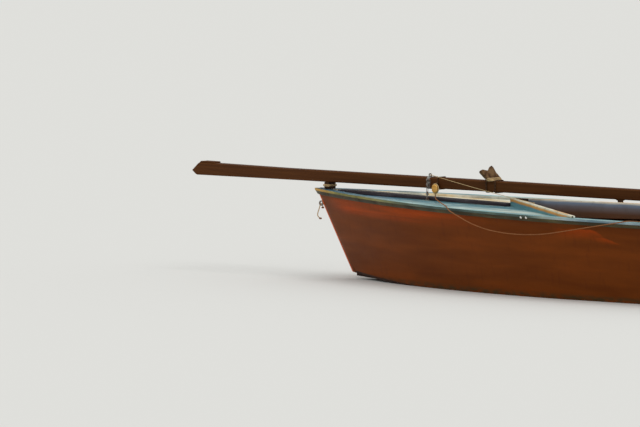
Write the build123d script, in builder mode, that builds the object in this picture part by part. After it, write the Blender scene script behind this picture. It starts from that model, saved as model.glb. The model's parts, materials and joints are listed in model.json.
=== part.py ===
"""Wooden rowing boat, 5.2 m long, with a V-fronted foredeck and its mast lowered along the centreline.

Sizes are in millimetres. +X runs to the bow, +Y to port and +Z up. The origin is on the waterline,
on the centreline amidships. A place "aft" is measured from the head of the stem towards the stern.
"""
import math
import os

from build123d import *

os.makedirs("parts", exist_ok=True)

# Hull form
hull_length = 5200
half_beam = 690
half_transom = 505
widest_aft = 3000
flare = 14
bow_height = 635
waist_height = 583
waist_aft = 4200
stern_height = 582
stem_foot_height = 47
hull_draft = 70
deepest_aft = 3200
stern_foot_height = -20
transom_rake = 10
turn_spare = 3
sheer_steps, rocker_steps = 6, 10

# Timber sizes
plank = 14
bottom_thickness = 16
transom_thickness = 24
nose_cut = 12
rabbet_aft = 70
apron_aft = 150
keel_width, keel_depth = 50, 20
skeg_width, skeg_bottom, skeg_fore_aft = 28, -118, 3700
log_width, log_height = 30, 30
inwale_width, inwale_height = 28, 32
strake_width, strake_height = 20, 26
cap_thickness = 18
cap_overhang = 3
cap_lip = 8
cap_nose_aft, cap_round = 10, 28
floor_width, floor_height = 28, 44
rib_width, rib_depth = 24, 22
frame_fore_aft, frame_spacing = 700, 435
riser_width, riser_height = 18, 46
board_width, board_thickness, board_gap, board_count = 116, 12, 12, 7
board_step_gap, board_end_fore = 40, 560
thwart_thickness, thwart_width = 24, 230
thwart_height = 440
mast_thwart_past, rowing_thwart_past = 73, 16
stern_seat_length = 560
knee_thickness, knee_arm, knee_foot, knee_head = 24, 210, 18, 90
knee_below = 4
step_length, step_width, step_height, step_ledge = 560, 130, 42, 9
deck_thickness = 12
beam_width, beam_depth = 28, 42
beam_fore_aft, beam_before_vee, beam_count = 360, 254, 4
king_margin, king_thickness, king_fore_aft = 4.5, 22, 250
coaming_thickness = 24
coaming_depth = 72
coaming_rise_fore, coaming_rise_aft = 68, 36
vee_aft, vee_angle = 1904, 30
post_length = 90
arch_rise, arch_half = 42, 420
quarter_arm, quarter_thickness, quarter_under = 210, 26, 8
quarter_spread, quarter_bevel = 60, 70

# Lowered mast and its supports
mast_width, mast_depth, mast_edge = 85, 80, 12
mast_over_cap = 52
mast_heel_aft, mast_head_fore = -1211, 115
heel_swell_down, heel_swell_up, heel_swell_side = 5, 9, 3
heel_bevel_top, heel_bevel_foot, heel_point = 70, 45, 0.36
heel_chock_length, heel_chock_width, heel_chock_height, heel_chock_behind = 172, 76, 11, 126
chock_length, chock_width, chock_aft, chock_lift, chock_round = 46, 82, 130, 1.5, 6
crutch_fore, crutch_thickness, crutch_width = 240, 30, 190
crutch_horn, crutch_tip, crutch_slope, crutch_shoulder = 45, 24, 20, 60

# Rowlocks, each in a socket let into a pad on the capping
rowlock_behind, rowlock_in = 440, 28
pad_length, pad_width, pad_height, pad_out, pad_bevel = 240, 48, 24, 6, 18
shank_radius, sleeve_radius, shank_short = 6.5, 9.5, 3
plate_length, plate_width, plate_thickness = 96, 32, 4
sleeve_depth = 14
horn_radius, horn_wire, horn_rise, horn_knob = 31.5, 5.5, 34, 7
collar_radius, collar_height, neck_height = 11, 5, 10

# Rudder, hung on the raked transom: lengths aft of the transom and heights up along it
hinge_out, pintle_radius, boss_radius = 32, 5, 11
low_gudgeon_up, high_gudgeon_up = 120, 430
boss_height, pintle_boss_height = 30, 20
strap_reach, strap_thickness, boss_web = 96, 3, 14
foot_plate, foot_thickness = 130, 4
blade_thickness, cheek_thickness = 28, 16
blade_gap, pocket_gap, pin_spare = 6, 5, 6
blade_top, blade_foot, blade_neck = 610, -310, 132
neck_foot, blade_shoulder, shoulder_up = 400, 170, 250
blade_back, back_up, heel_back, heel_up = 330, 80, 345, -110
toe_back, toe_up = 270, -290
cheek_front, cheek_foot, cheek_back, cheek_head, cheek_round = 40, 500, 132, 716, 6

# Eye plates on the stem and the transom
eye_height, eye_out, eye_hole, eye_rim, eye_thickness = 540, 22, 12, 20, 10
eye_rod, eye_rod_reach = 6, 70
stern_eye_side, stern_eye_up, stern_eye_out, stern_eye_hole = 300, 510, 22, 8
stern_eye_rim, stern_eye_thickness, stern_plate_tall, stern_plate_wide, stern_plate = 15, 8, 56, 40, 4

# Rigging fittings on the foredeck
hoop_aft, hoop_width, hoop_thickness = 1146, 34, 5
hoop_eye_side, hoop_eye_rim, hoop_eye_hole, hoop_eye_thickness = 26, 14, 7.5, 8
staple_radius, staple_wire, staple_drop = 12, 3.5, 18
link_radius, link_wire = 9, 3
deck_plate_length, deck_plate_width, deck_plate, deck_plate_lift = 46, 21, 3, 1
rod_length, rod_radius, nut_height, nut_radius, nut_reach = 12, 3.5, 14, 9.5, 10
leg_radius, leg_side = 2.3, 6.2
block_behind_hoop, block_side, block_drop = 90, 72, 78
block_length, block_tall, block_thickness, block_round = 52, 62, 30, 6
slot_height, slot_width, block_pin = 46, 11, 4
sheave_radius, sheave_width, sheave_groove = 19, 9.6, 4
rope_radius, rope_clear = 4, 0.3
seizing_length, seizing_height = 16, 14
whipping_radius, whipping_length = 6, 10.6
fork_aft, fork_width, fork_height, fork_thickness = 1755, 128, 116, 26
fork_foot_in, fork_sunk, fork_notch, fork_tip, fork_ear = 8, 80, 54, 17, 12
fork_turn_side = 43
fork_lean, fork_roll = 29, 17
cleat_length, cleat_width, cleat_height, cleat_neck = 80, 20, 40, 36
cleat_in, cleat_foot, cleat_throat, cleat_under, cleat_tip = 12, 6, 16, 26, 4
starboard_cleat_aft, port_cleat_aft = 2410, 3780

# Fits
fit = 0.4
mast_fit = 3
seat_gap = 0.3
pin_fit = 0.05

bow_x = hull_length / 2
keel_plane, rail_plane = -150, 800
reach, half_reach = 400, 1000


def at(aft):
    """The x of a station that lies this far aft of the stem head."""
    return bow_x - aft


def turn_to(run, radius):
    """The angle of the arc that runs this far along the hull, with some to spare."""
    return math.degrees(math.asin(run / radius)) + turn_spare


def side_curve(a, b, c, steps):
    """The circle through three points of the side view, as straight steps that run on past both ends."""
    (ax, az), (bx, bz), (cx, cz) = a, b, c
    double_area = 2 * (ax * (bz - cz) + bx * (cz - az) + cx * (az - bz))
    aa, bb, cc = ax**2 + az**2, bx**2 + bz**2, cx**2 + cz**2
    centre_x = (aa * (bz - cz) + bb * (cz - az) + cc * (az - bz)) / double_area
    centre_z = (aa * (cx - bx) + bb * (ax - cx) + cc * (bx - ax)) / double_area
    radius = math.hypot(ax - centre_x, az - centre_z)
    start, stride = -bow_x - reach, (hull_length + 2 * reach) / steps
    stations = [start + step * stride for step in range(steps + 1)]
    side = math.copysign(1, bz - centre_z)
    return [(x, centre_z + side * math.sqrt(radius**2 - (x - centre_x) ** 2)) for x in stations]


def height_on(curve, x):
    """Height of a side curve at one x."""
    for (aft_x, aft_z), (next_x, next_z) in zip(curve, curve[1:]):
        if x <= next_x:
            return aft_z + (next_z - aft_z) * (x - aft_x) / (next_x - aft_x)


def half_at(height):
    """Half width of the hull at its widest station, on the straight flare."""
    return half_beam + (height - waist_height) * math.tan(math.radians(flare))


# Each side is two upright cones that meet in line at the widest station: one forward, one aft
widest_x = at(widest_aft)
bow_half = half_at(bow_height)
fore_radius = (widest_aft**2 + bow_half**2) / (2 * bow_half)
fore_centre = bow_half - fore_radius
aft_run, aft_drop = hull_length - widest_aft, half_beam - half_transom
aft_radius = (aft_run**2 + aft_drop**2) / (2 * aft_drop)
aft_centre = half_beam - aft_radius


def stem_x(height):
    """The raked stem line, where the two bow cones cross on the centreline."""
    return widest_x + math.sqrt((half_at(height) - fore_centre) ** 2 - fore_centre**2)


def transom_x(height):
    """The raked outer face of the transom."""
    return at(hull_length) + (stern_height - height) * math.tan(math.radians(transom_rake))


def breadth(x, height):
    """Half width of the hull's outside at one place."""
    centre = fore_centre if x > widest_x else aft_centre
    return centre + math.sqrt((half_at(height) - centre) ** 2 - (x - widest_x) ** 2)


stem_foot = (stem_x(stem_foot_height), stem_foot_height)
stern_foot = (at(hull_length), stern_foot_height)
sheer = side_curve(
    (at(0), bow_height), (at(waist_aft), waist_height), (at(hull_length), stern_height), sheer_steps
)
rocker = side_curve(stem_foot, (at(deepest_aft), -hull_draft), stern_foot, rocker_steps)


def hull_half(inset, transom_inset=0):
    """The port half of the hull as a block, every side drawn in square to itself by the inset."""
    drawn_in = inset / math.cos(math.radians(flare))
    stern_plane = Plane(
        origin=(transom_x(0) + transom_inset, 0, 0),
        x_dir=(0, 1, 0),
        z_dir=(math.cos(math.radians(transom_rake)), 0, math.sin(math.radians(transom_rake))),
    )
    with BuildPart() as half:
        for centre, turn in (
            (fore_centre, -turn_to(widest_aft, fore_radius)), (aft_centre, turn_to(aft_run, aft_radius)),
        ):
            with BuildSketch(Plane.YZ.offset(widest_x)):
                with BuildLine():
                    Polyline(
                        (-reach, keel_plane), (half_at(keel_plane) - drawn_in, keel_plane),
                        (half_at(rail_plane) - drawn_in, rail_plane), (-reach, rail_plane), close=True,
                    )
                make_face()
            revolve(axis=Axis((widest_x, centre, 0), (0, 0, math.copysign(1, turn))), revolution_arc=abs(turn))
        split(bisect_by=Plane.ZX, keep=Keep.TOP)
        split(bisect_by=stern_plane, keep=Keep.TOP)
    return half.part


def hull_form(inset, transom_inset=0):
    """Both halves of the hull block as one."""
    port = hull_half(inset, transom_inset)
    with BuildPart() as form:
        add(port)
        mirror(port, about=Plane.XZ)
    return form.part


def layer(lower, lower_rise, upper, upper_rise):
    """The space between two side-view curves, each raised by so much, right across the boat."""
    low = [(x, z + lower_rise) for x, z in lower]
    high = [(x, z + upper_rise) for x, z in reversed(upper)]
    with BuildPart() as zone:
        with BuildSketch(Plane.XZ):
            with BuildLine():
                Polyline(*low, *high, close=True)
            make_face()
        extrude(amount=half_reach, both=True)
    return zone.part


def side_view(*points, half_width=half_reach):
    """A flat-sided block with this outline in the side view, centred on the centreline."""
    with BuildPart() as block:
        with BuildSketch(Plane.XZ):
            with BuildLine():
                Polyline(*points, close=True)
            make_face()
        extrude(amount=half_width, both=True)
    return block.part


def stem_zone(fore, aft):
    """The raked space from fore to aft behind the straight line from the stem's foot to its head."""
    slope = (stem_x(bow_height) - stem_x(stem_foot_height)) / (bow_height - stem_foot_height)
    low = stem_x(bow_height) + (keel_plane - bow_height) * slope
    high = stem_x(bow_height) + (rail_plane - bow_height) * slope
    return side_view(
        (low - fore, keel_plane), (high - fore, rail_plane), (high - aft, rail_plane), (low - aft, keel_plane)
    )


def vee_zone(outset):
    """The V of the open cockpit, point forward, grown square to its sides by the outset."""
    point = at(vee_aft) + outset / math.sin(math.radians(vee_angle))
    run = 2 * hull_length
    spread = run * math.tan(math.radians(vee_angle))
    with BuildPart() as zone:
        with BuildSketch(Plane.XY.offset(keel_plane)):
            with BuildLine():
                Polyline((point, 0), (point - run, spread), (point - run, -spread), close=True)
            make_face()
        extrude(amount=rail_plane - keel_plane + reach)
    return zone.part


def slab_zone(fore_aft, end_aft):
    """The space between two stations, right across the boat."""
    low, high = keel_plane - reach, rail_plane + reach
    return side_view((at(fore_aft), low), (at(fore_aft), high), (at(end_aft), high), (at(end_aft), low))


def common(*zones):
    """What all the zones share."""
    with BuildPart() as shared:
        add(zones[0])
        for zone in zones[1:]:
            add(zone, mode=Mode.INTERSECT)
    return shared.part


def without(body, *cuts):
    """The body with the cuts taken away."""
    with BuildPart() as rest:
        add(body)
        for cut in cuts:
            add(cut, mode=Mode.SUBTRACT)
    return rest.part


# Hull forms that the timbers are fitted to, each drawn in past the timber outside it
open_stern = -reach
lining_in = plank + fit
outer, outer_half = hull_form(0), hull_half(0)
plank_inside = hull_half(plank, open_stern)
lining = hull_form(lining_in, transom_thickness + fit)
lining_half = hull_half(lining_in, transom_thickness + fit)
deck_edge = hull_form(lining_in + inwale_width + fit, transom_thickness + fit)
deck_edge_half = hull_half(lining_in + inwale_width + fit, transom_thickness + fit)

# Layers of the side view
wall_layer = layer(rocker, bottom_thickness + fit, sheer, 0)
bottom_layer = layer(rocker, 0, rocker, bottom_thickness)
below_deck = layer(rocker, bottom_thickness + fit, sheer, -deck_thickness - fit)

pieces = {}

# Stem: its nose is flush with the planking, and its apron stands inside the planks
stem_nose = common(outer, stem_zone(nose_cut, rabbet_aft), layer(rocker, 0, sheer, 0))
with BuildPart() as stem:
    add(common(lining, stem_zone(rabbet_aft - 1, apron_aft), below_deck))
    add(stem_nose)
pieces["stem"] = stem

with BuildPart() as bottom:
    add(common(outer, bottom_layer))
    add(stem_zone(-reach, rabbet_aft), mode=Mode.SUBTRACT)
pieces["bottom"] = bottom

with BuildPart() as side_port:
    add(outer_half)
    add(plank_inside, mode=Mode.SUBTRACT)
    add(wall_layer, mode=Mode.INTERSECT)
    add(stem_zone(-reach, rabbet_aft), mode=Mode.SUBTRACT)
pieces["side_port"] = side_port

# Transom, between the sides, with an arched top
arch_foot, arch_top = stern_height - fit, stern_height + arch_rise
with BuildPart() as arch_zone:
    with BuildSketch(Plane.YZ):
        with BuildLine():
            ThreePointArc((-arch_half, arch_foot), (0, arch_top), (arch_half, arch_foot))
            Polyline(
                (arch_half, arch_foot), (half_beam, arch_foot), (half_beam, keel_plane),
                (-half_beam, keel_plane), (-half_beam, arch_foot), (-arch_half, arch_foot),
            )
        make_face()
    extrude(amount=hull_length, both=True)
with BuildPart() as transom:
    add(hull_form(plank + fit))
    add(hull_form(-reach, transom_thickness), mode=Mode.SUBTRACT)
    add(arch_zone.part, mode=Mode.INTERSECT)
    add(layer(rocker, bottom_thickness + fit, sheer, reach), mode=Mode.INTERSECT)
pieces["transom"] = transom

# Keel strip and skeg under the bottom
keel_fore = bow_x - stem_x(stem_foot_height) + rabbet_aft
with BuildPart() as keel_strip:
    add(layer(rocker, -fit - keel_depth, rocker, -fit))
    add(slab_zone(keel_fore, hull_length - reach / 3), mode=Mode.INTERSECT)
    with BuildSketch(Plane.XY.offset(-reach)):
        Rectangle(2 * hull_length, keel_width)
    extrude(amount=2 * reach, mode=Mode.INTERSECT)
pieces["keel_strip"] = keel_strip

skeg_end = at(hull_length - reach / 3)
with BuildPart() as skeg:
    add(side_view(
        (at(skeg_fore_aft), 0), (at(skeg_fore_aft), skeg_bottom), (skeg_end, skeg_bottom), (skeg_end, 0),
        half_width=skeg_width / 2,
    ))
    add(layer(rocker, -reach, rocker, -2 * fit - keel_depth), mode=Mode.INTERSECT)
pieces["skeg"] = skeg

# Long timbers inside the port side
with BuildPart() as chine_log_port:
    add(without(lining_half, hull_half(lining_in + log_width, open_stern), stem_zone(-reach, apron_aft + fit)))
    add(layer(rocker, bottom_thickness + fit, rocker, bottom_thickness + log_height), mode=Mode.INTERSECT)
pieces["chine_logs"] = chine_log_port

with BuildPart() as inwale_port:
    inwale_inside = hull_half(lining_in + inwale_width, open_stern)
    add(without(lining_half, inwale_inside, stem_zone(-reach, apron_aft + fit)))
    add(layer(sheer, -inwale_height, sheer, 0), mode=Mode.INTERSECT)
pieces["inwales"] = inwale_port

riser_fore, riser_end = 2330, hull_length - 60
riser_top = thwart_height - thwart_thickness
riser_in = lining_in + rib_depth + fit
with BuildPart() as riser_port:
    add(without(hull_half(riser_in, transom_thickness + fit), hull_half(riser_in + riser_width, open_stern)))
    add(slab_zone(riser_fore, riser_end), mode=Mode.INTERSECT)
    with BuildSketch(Plane.XY.offset(riser_top - riser_height)):
        Rectangle(2 * hull_length, 2 * half_reach)
    extrude(amount=riser_height, mode=Mode.INTERSECT)
pieces["risers"] = riser_port

# Rubbing strake and capping outside and over the port side
with BuildPart() as strake_port:
    add(without(hull_half(-fit - strake_width), hull_half(-fit, open_stern)))
    add(layer(sheer, -strake_height, sheer, 0), mode=Mode.INTERSECT)
    add(slab_zone(nose_cut, hull_length + reach), mode=Mode.INTERSECT)
    split(bisect_by=Plane.ZX.offset(fit / 2), keep=Keep.TOP)
pieces["strakes"] = strake_port

with BuildPart() as cap_port:
    add(hull_half(-fit - strake_width - cap_overhang))
    add(hull_half(lining_in + inwale_width + cap_lip, open_stern), mode=Mode.SUBTRACT)
    add(layer(sheer, fit, sheer, fit + cap_thickness), mode=Mode.INTERSECT)
    add(slab_zone(cap_nose_aft, hull_length + reach), mode=Mode.INTERSECT)
    split(bisect_by=Plane.ZX.offset(fit / 2), keep=Keep.TOP)
    nose_edges = cap_port.edges().filter_by(Axis.Z, tolerance=20).group_by(Axis.X)[-1]
    fillet(nose_edges.sort_by(Axis.Y)[-1], radius=cap_round)
pieces["capping"] = cap_port

# Floor timbers across the bottom and ribs up the sides, at the same stations
seat_fore_aft = hull_length - stern_seat_length
frame_count = math.ceil((seat_fore_aft - rib_width / 2 - frame_fore_aft) / frame_spacing)
frame_stations = [frame_fore_aft + step * frame_spacing for step in range(frame_count)]
floor_layer = layer(rocker, bottom_thickness + fit, rocker, bottom_thickness + fit + floor_height)
floor_form = hull_form(lining_in + log_width + fit, transom_thickness + fit)
with BuildPart() as floor_timbers:
    for station in frame_stations:
        add(slab_zone(station - floor_width / 2, station + floor_width / 2))
    add(floor_form, mode=Mode.INTERSECT)
    add(floor_layer, mode=Mode.INTERSECT)
pieces["floor_timbers"] = floor_timbers

rib_foot = bottom_thickness + log_height + fit
with BuildPart() as ribs_port:
    for station in frame_stations:
        add(slab_zone(station - rib_width / 2, station + rib_width / 2))
    add(without(lining_half, hull_half(lining_in + rib_depth, open_stern)), mode=Mode.INTERSECT)
    add(layer(rocker, rib_foot, sheer, -inwale_height - fit), mode=Mode.INTERSECT)
pieces["ribs"] = ribs_port

# Floor boards over the floor timbers, from behind the mast step
half_thwart = thwart_width / 2
mast_thwart_aft = frame_stations[4] + rib_width / 2 + mast_thwart_past + half_thwart
board_fore_aft = mast_thwart_aft + step_length / 2 + board_step_gap
boards_rise = bottom_thickness + floor_height + 2 * fit
boards_form = hull_form(lining_in + rib_depth + 2 * fit, transom_thickness + fit)
boards_layer = layer(rocker, boards_rise, rocker, boards_rise + board_thickness)
with BuildPart() as floor_boards:
    with BuildSketch(Plane.XY.offset(keel_plane)):
        board_end_aft = hull_length - board_end_fore
        middle = at((board_fore_aft + board_end_aft) / 2)
        with Locations((middle, 0)):
            with GridLocations(0, board_width + board_gap, 1, board_count):
                Rectangle(board_end_aft - board_fore_aft, board_width)
    extrude(amount=reach)
    add(boards_form, mode=Mode.INTERSECT)
    add(boards_layer, mode=Mode.INTERSECT)
pieces["floor_boards"] = floor_boards

# Thwarts rest on the risers, clear of the ribs
thwart_form = hull_form(plank + 2, transom_thickness + fit)
rowing_thwart_aft = frame_stations[7] - rib_width / 2 - rowing_thwart_past - half_thwart
seat_form = hull_form(plank + 2, transom_thickness + 2)


def thwart_block(form, fore_aft, end_aft):
    """A flat board from side to side between two stations, at the height of the thwarts."""
    low, high = riser_top, thwart_height
    block = side_view((at(fore_aft), low), (at(fore_aft), high), (at(end_aft), high), (at(end_aft), low))
    return common(form, block)


hole_width, hole_length = mast_width + 2 * mast_fit, mast_depth + 2 * mast_fit
with BuildPart() as mast_thwart:
    add(thwart_block(thwart_form, mast_thwart_aft - half_thwart, mast_thwart_aft + half_thwart))
    with BuildSketch(Plane.XY.offset(thwart_height)):
        with Locations((at(mast_thwart_aft), 0)):
            RectangleRounded(hole_length, hole_width, mast_edge)
    extrude(amount=-2 * thwart_thickness, mode=Mode.SUBTRACT)
pieces["mast_thwart"] = mast_thwart

with BuildPart() as rowing_thwart:
    add(thwart_block(thwart_form, rowing_thwart_aft - half_thwart, rowing_thwart_aft + half_thwart))
pieces["rowing_thwart"] = rowing_thwart

with BuildPart() as stern_seat:
    add(thwart_block(seat_form, seat_fore_aft, hull_length))
pieces["stern_seat"] = stern_seat

# Knees tie the thwart ends to the inwales
with BuildPart() as knee_outline:
    with BuildSketch(Plane.YZ):
        with BuildLine():
            foot, top = thwart_height + fit, waist_height - inwale_height - knee_below
            inner = half_beam - knee_arm
            Polyline(
                (half_beam, foot), (inner, foot), (inner, foot + knee_foot), (half_beam - knee_head, top),
                (half_beam, top), close=True,
            )
        make_face()
        mirror(about=Plane.YZ)
    extrude(amount=hull_length, both=True)
with BuildPart() as thwart_knees:
    for station in (mast_thwart_aft, rowing_thwart_aft):
        add(slab_zone(station - knee_thickness / 2, station + knee_thickness / 2))
    add(knee_outline.part, mode=Mode.INTERSECT)
    add(lining, mode=Mode.INTERSECT)
    add(layer(rocker, 0, sheer, -inwale_height - fit), mode=Mode.INTERSECT)
pieces["thwart_knees"] = thwart_knees

# Mast step on the floor timbers under the hole in the mast thwart
with BuildPart() as mast_step:
    add(slab_zone(mast_thwart_aft - step_length / 2, mast_thwart_aft + step_length / 2))
    add(layer(rocker, boards_rise, rocker, boards_rise + step_height), mode=Mode.INTERSECT)
    with BuildSketch(Plane.XY.offset(-reach)):
        with Locations((at(mast_thwart_aft), 0)):
            Rectangle(step_length, step_width)
    extrude(amount=2 * reach, mode=Mode.INTERSECT)
    with BuildSketch(Plane.XY.offset(reach)):
        with Locations((at(mast_thwart_aft), 0)):
            Rectangle(hole_length - 2 * step_ledge, hole_width - 2 * step_ledge)
    extrude(amount=-2 * reach, mode=Mode.SUBTRACT)
pieces["mast_step"] = mast_step

# Foredeck on its beams, cut back to the V of the coaming
deck_layer = layer(sheer, -deck_thickness, sheer, 0)
with BuildPart() as foredeck_port:
    add(deck_edge_half)
    add(deck_layer, mode=Mode.INTERSECT)
    add(vee_zone(fit), mode=Mode.SUBTRACT)
    add(stem_zone(-reach, rabbet_aft + fit), mode=Mode.SUBTRACT)
    add(slab_zone(0, widest_aft + reach), mode=Mode.INTERSECT)
    split(bisect_by=Plane.ZX.offset(fit / 2), keep=Keep.TOP)
pieces["foredeck"] = foredeck_port

beam_step = (vee_aft - beam_before_vee - beam_fore_aft) / (beam_count - 1)
beam_stations = [beam_fore_aft + step * beam_step for step in range(beam_count)]
beam_top = -deck_thickness - fit
with BuildPart() as deck_beams:
    for station in beam_stations:
        add(slab_zone(station - beam_width / 2, station + beam_width / 2))
    add(deck_edge, mode=Mode.INTERSECT)
    add(layer(sheer, beam_top - beam_depth, sheer, beam_top), mode=Mode.INTERSECT)
pieces["deck_beams"] = deck_beams

with BuildPart() as carlin_port:
    add(without(vee_zone(beam_width + fit), vee_zone(fit)))
    add(deck_edge_half, mode=Mode.INTERSECT)
    add(layer(sheer, beam_top - beam_depth, sheer, beam_top), mode=Mode.INTERSECT)
    add(slab_zone(0, widest_aft + reach), mode=Mode.INTERSECT)
    split(bisect_by=Plane.ZX.offset(fit / 2), keep=Keep.TOP)
pieces["carlins"] = carlin_port

with BuildPart() as king_plank:
    add(layer(sheer, fit, sheer, fit + king_thickness))
    add(slab_zone(king_fore_aft, vee_aft), mode=Mode.INTERSECT)
    with BuildSketch(Plane.XY.offset(keel_plane)):
        Rectangle(2 * hull_length, mast_width + 2 * king_margin)
    extrude(amount=2 * half_reach, mode=Mode.INTERSECT)
    add(vee_zone(fit), mode=Mode.SUBTRACT)
pieces["king_plank"] = king_plank

# Coaming boards along the V, tapered in height towards the sides
vee_end_aft = vee_aft + (half_beam + strake_width) / math.tan(math.radians(vee_angle))
vee_fore_aft = vee_aft - 2 * coaming_thickness
coaming_top = side_view(
    (at(vee_fore_aft), height_on(sheer, at(vee_aft)) - coaming_depth),
    (at(vee_fore_aft), height_on(sheer, at(vee_aft)) + coaming_rise_fore),
    (at(vee_end_aft), height_on(sheer, at(vee_end_aft)) + coaming_rise_aft),
    (at(vee_end_aft), height_on(sheer, at(vee_end_aft)) - coaming_depth),
)
coaming_slab = common(without(vee_zone(0), vee_zone(-coaming_thickness)), coaming_top)
arm_layer = layer(sheer, fit + cap_thickness + fit, sheer, reach)
with BuildPart() as coaming_port:
    add(common(coaming_slab, hull_half(lining_in + inwale_width + cap_lip + fit, open_stern)))
    add(common(coaming_slab, hull_half(0, open_stern), arm_layer))
    split(bisect_by=Plane.ZX.offset(fit / 2), keep=Keep.TOP)
pieces["coaming"] = coaming_port

post_fore = vee_aft + coaming_thickness / math.sin(math.radians(vee_angle))
with BuildPart() as coaming_post:
    add(vee_zone(-coaming_thickness))
    add(slab_zone(0, post_fore + post_length), mode=Mode.INTERSECT)
    add(coaming_top, mode=Mode.INTERSECT)
pieces["coaming_post"] = coaming_post

# Quarter knees in the corners of the transom
with BuildPart() as quarter_knees:
    with BuildSketch(Plane.XY.offset(stern_height - quarter_thickness)):
        with BuildLine():
            corner_x, corner_y = at(hull_length), half_transom
            arm_end = corner_x + quarter_arm + quarter_spread
            Polyline(
                (corner_x, corner_y + quarter_spread), (arm_end, corner_y + quarter_spread),
                (arm_end, corner_y), (corner_x + quarter_bevel, corner_y - quarter_arm),
                (corner_x, corner_y - quarter_arm), close=True,
            )
        make_face()
        mirror(about=Plane.XZ)
    extrude(amount=quarter_thickness - quarter_under)
    add(deck_edge, mode=Mode.INTERSECT)
pieces["quarter_knees"] = quarter_knees

# The lowered mast: a squared spar that swells a little from the bow to its bevelled heel
chock_x, mast_heel_x, mast_head_x = at(chock_aft), at(mast_heel_aft), at(hull_length - mast_head_fore)
cap_top = height_on(sheer, chock_x) + fit + cap_thickness
mast_bottom = cap_top + mast_over_cap
mast_top = mast_bottom + mast_depth
mast_middle = mast_bottom + mast_depth / 2
swell_x = at(0)
heel_low, heel_high = mast_bottom - heel_swell_down, mast_top + heel_swell_up
with BuildPart() as mast:
    with BuildSketch(Plane.YZ.offset(mast_head_x)):
        with Locations((0, mast_middle)):
            RectangleRounded(mast_width, mast_depth, mast_edge)
    extrude(amount=swell_x - mast_head_x)
    with BuildSketch(Plane.YZ.offset(swell_x)) as swell_start:
        with Locations((0, mast_middle)):
            RectangleRounded(mast_width, mast_depth, mast_edge)
    with BuildSketch(Plane.YZ.offset(mast_heel_x)) as swell_end:
        with Locations((0, (heel_low + heel_high) / 2)):
            RectangleRounded(mast_width + 2 * heel_swell_side, heel_high - heel_low, mast_edge)
    loft([swell_start.sketch, swell_end.sketch], ruled=True)
    heel_tip = heel_low + heel_point * (heel_high - heel_low)
    past_x, over, under = mast_heel_x + 1, heel_high + 1, heel_low - 1
    for bevel, edge in ((heel_bevel_top, over), (heel_bevel_foot, under)):
        corner = (mast_heel_x - bevel, edge)
        add(side_view((past_x, edge), corner, (mast_heel_x, heel_tip), (past_x, heel_tip)), mode=Mode.SUBTRACT)
pieces["mast"] = mast

# Bow chock: a block on the capping under the mast
chock_foot = cap_top + chock_lift
with BuildPart() as bow_chock:
    with Locations((chock_x, 0, (chock_foot + mast_bottom - seat_gap) / 2)):
        Box(chock_length, chock_width, mast_bottom - seat_gap - chock_foot)
    fillet(bow_chock.edges().filter_by(Axis.Z), radius=chock_round)
pieces["bow_chock"] = bow_chock

# Stern crutch: a forked board standing on the stern seat
with BuildPart() as stern_crutch:
    with BuildSketch(Plane.YZ.offset(at(hull_length - crutch_fore + crutch_thickness / 2))):
        with BuildLine():
            low, seat, horn = thwart_height + seat_gap, mast_bottom - seat_gap, mast_bottom + crutch_horn
            half, inner = crutch_width / 2, mast_width / 2 + mast_fit
            tip, shoulder = inner + crutch_tip, seat - crutch_shoulder
            Polyline(
                (-half, low), (half, low), (half - crutch_slope, shoulder), (tip, horn), (inner, horn),
                (inner, seat), (-inner, seat), (-inner, horn), (-tip, horn), (-half + crutch_slope, shoulder),
                close=True,
            )
        make_face()
    extrude(amount=crutch_thickness)
pieces["stern_crutch"] = stern_crutch

# Bevelled block on top of the mast near its heel, on the swell's slope
swell_slope = math.degrees(math.atan(heel_swell_up / (mast_heel_x - swell_x)))
heel_chock_x = mast_heel_x - heel_chock_behind
chock_seat = mast_top + heel_swell_up * (heel_chock_x - swell_x) / (mast_heel_x - swell_x) + seat_gap
with BuildPart() as heel_chock:
    with Locations(Location((heel_chock_x, 0, chock_seat), (0, -swell_slope, 0))):
        Box(
            heel_chock_length, heel_chock_width, heel_chock_height,
            align=(Align.CENTER, Align.CENTER, Align.MIN),
        )
    chamfer(heel_chock.faces().sort_by(Axis.Z)[-1].edges().filter_by(Axis.Y), length=heel_chock_height / 2)
pieces["heel_chock"] = heel_chock

# Rowlock pads on the capping, with their sockets and the rowlocks
rowlock_x = at(rowing_thwart_aft + rowlock_behind)
cap_rise = fit + cap_thickness + fit
rowlock_y = breadth(rowlock_x, waist_height) - rowlock_in / math.cos(math.radians(flare))
pad_turn = math.degrees(math.asin((widest_x - rowlock_x) / (half_at(waist_height) - aft_centre)))
pad_top = height_on(sheer, rowlock_x) + cap_rise + pad_height
plate_top = pad_top + seat_gap + plate_thickness
sleeve_foot = height_on(sheer, rowlock_x) - sleeve_depth
sleeve_hole = sleeve_radius + fit
horn_z = plate_top + seat_gap + collar_height + neck_height + horn_radius + horn_wire

with BuildPart() as pad_port:
    with BuildSketch(Plane.XY.offset(pad_top)):
        with Locations(Location((rowlock_x, rowlock_y + pad_out), pad_turn)):
            Rectangle(pad_length, pad_width)
    extrude(amount=-2 * pad_height)
    add(layer(sheer, cap_rise, sheer, reach), mode=Mode.INTERSECT)
    pad_faces = pad_port.faces().sort_by(Axis.X)
    chamfer([face.edges().sort_by(Axis.Z)[-1] for face in (pad_faces[0], pad_faces[-1])], length=pad_bevel)
    with Locations((rowlock_x, rowlock_y, pad_top)):
        Hole(radius=sleeve_hole, depth=2 * pad_height)
pieces["rowlock_pads"] = pad_port

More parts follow.
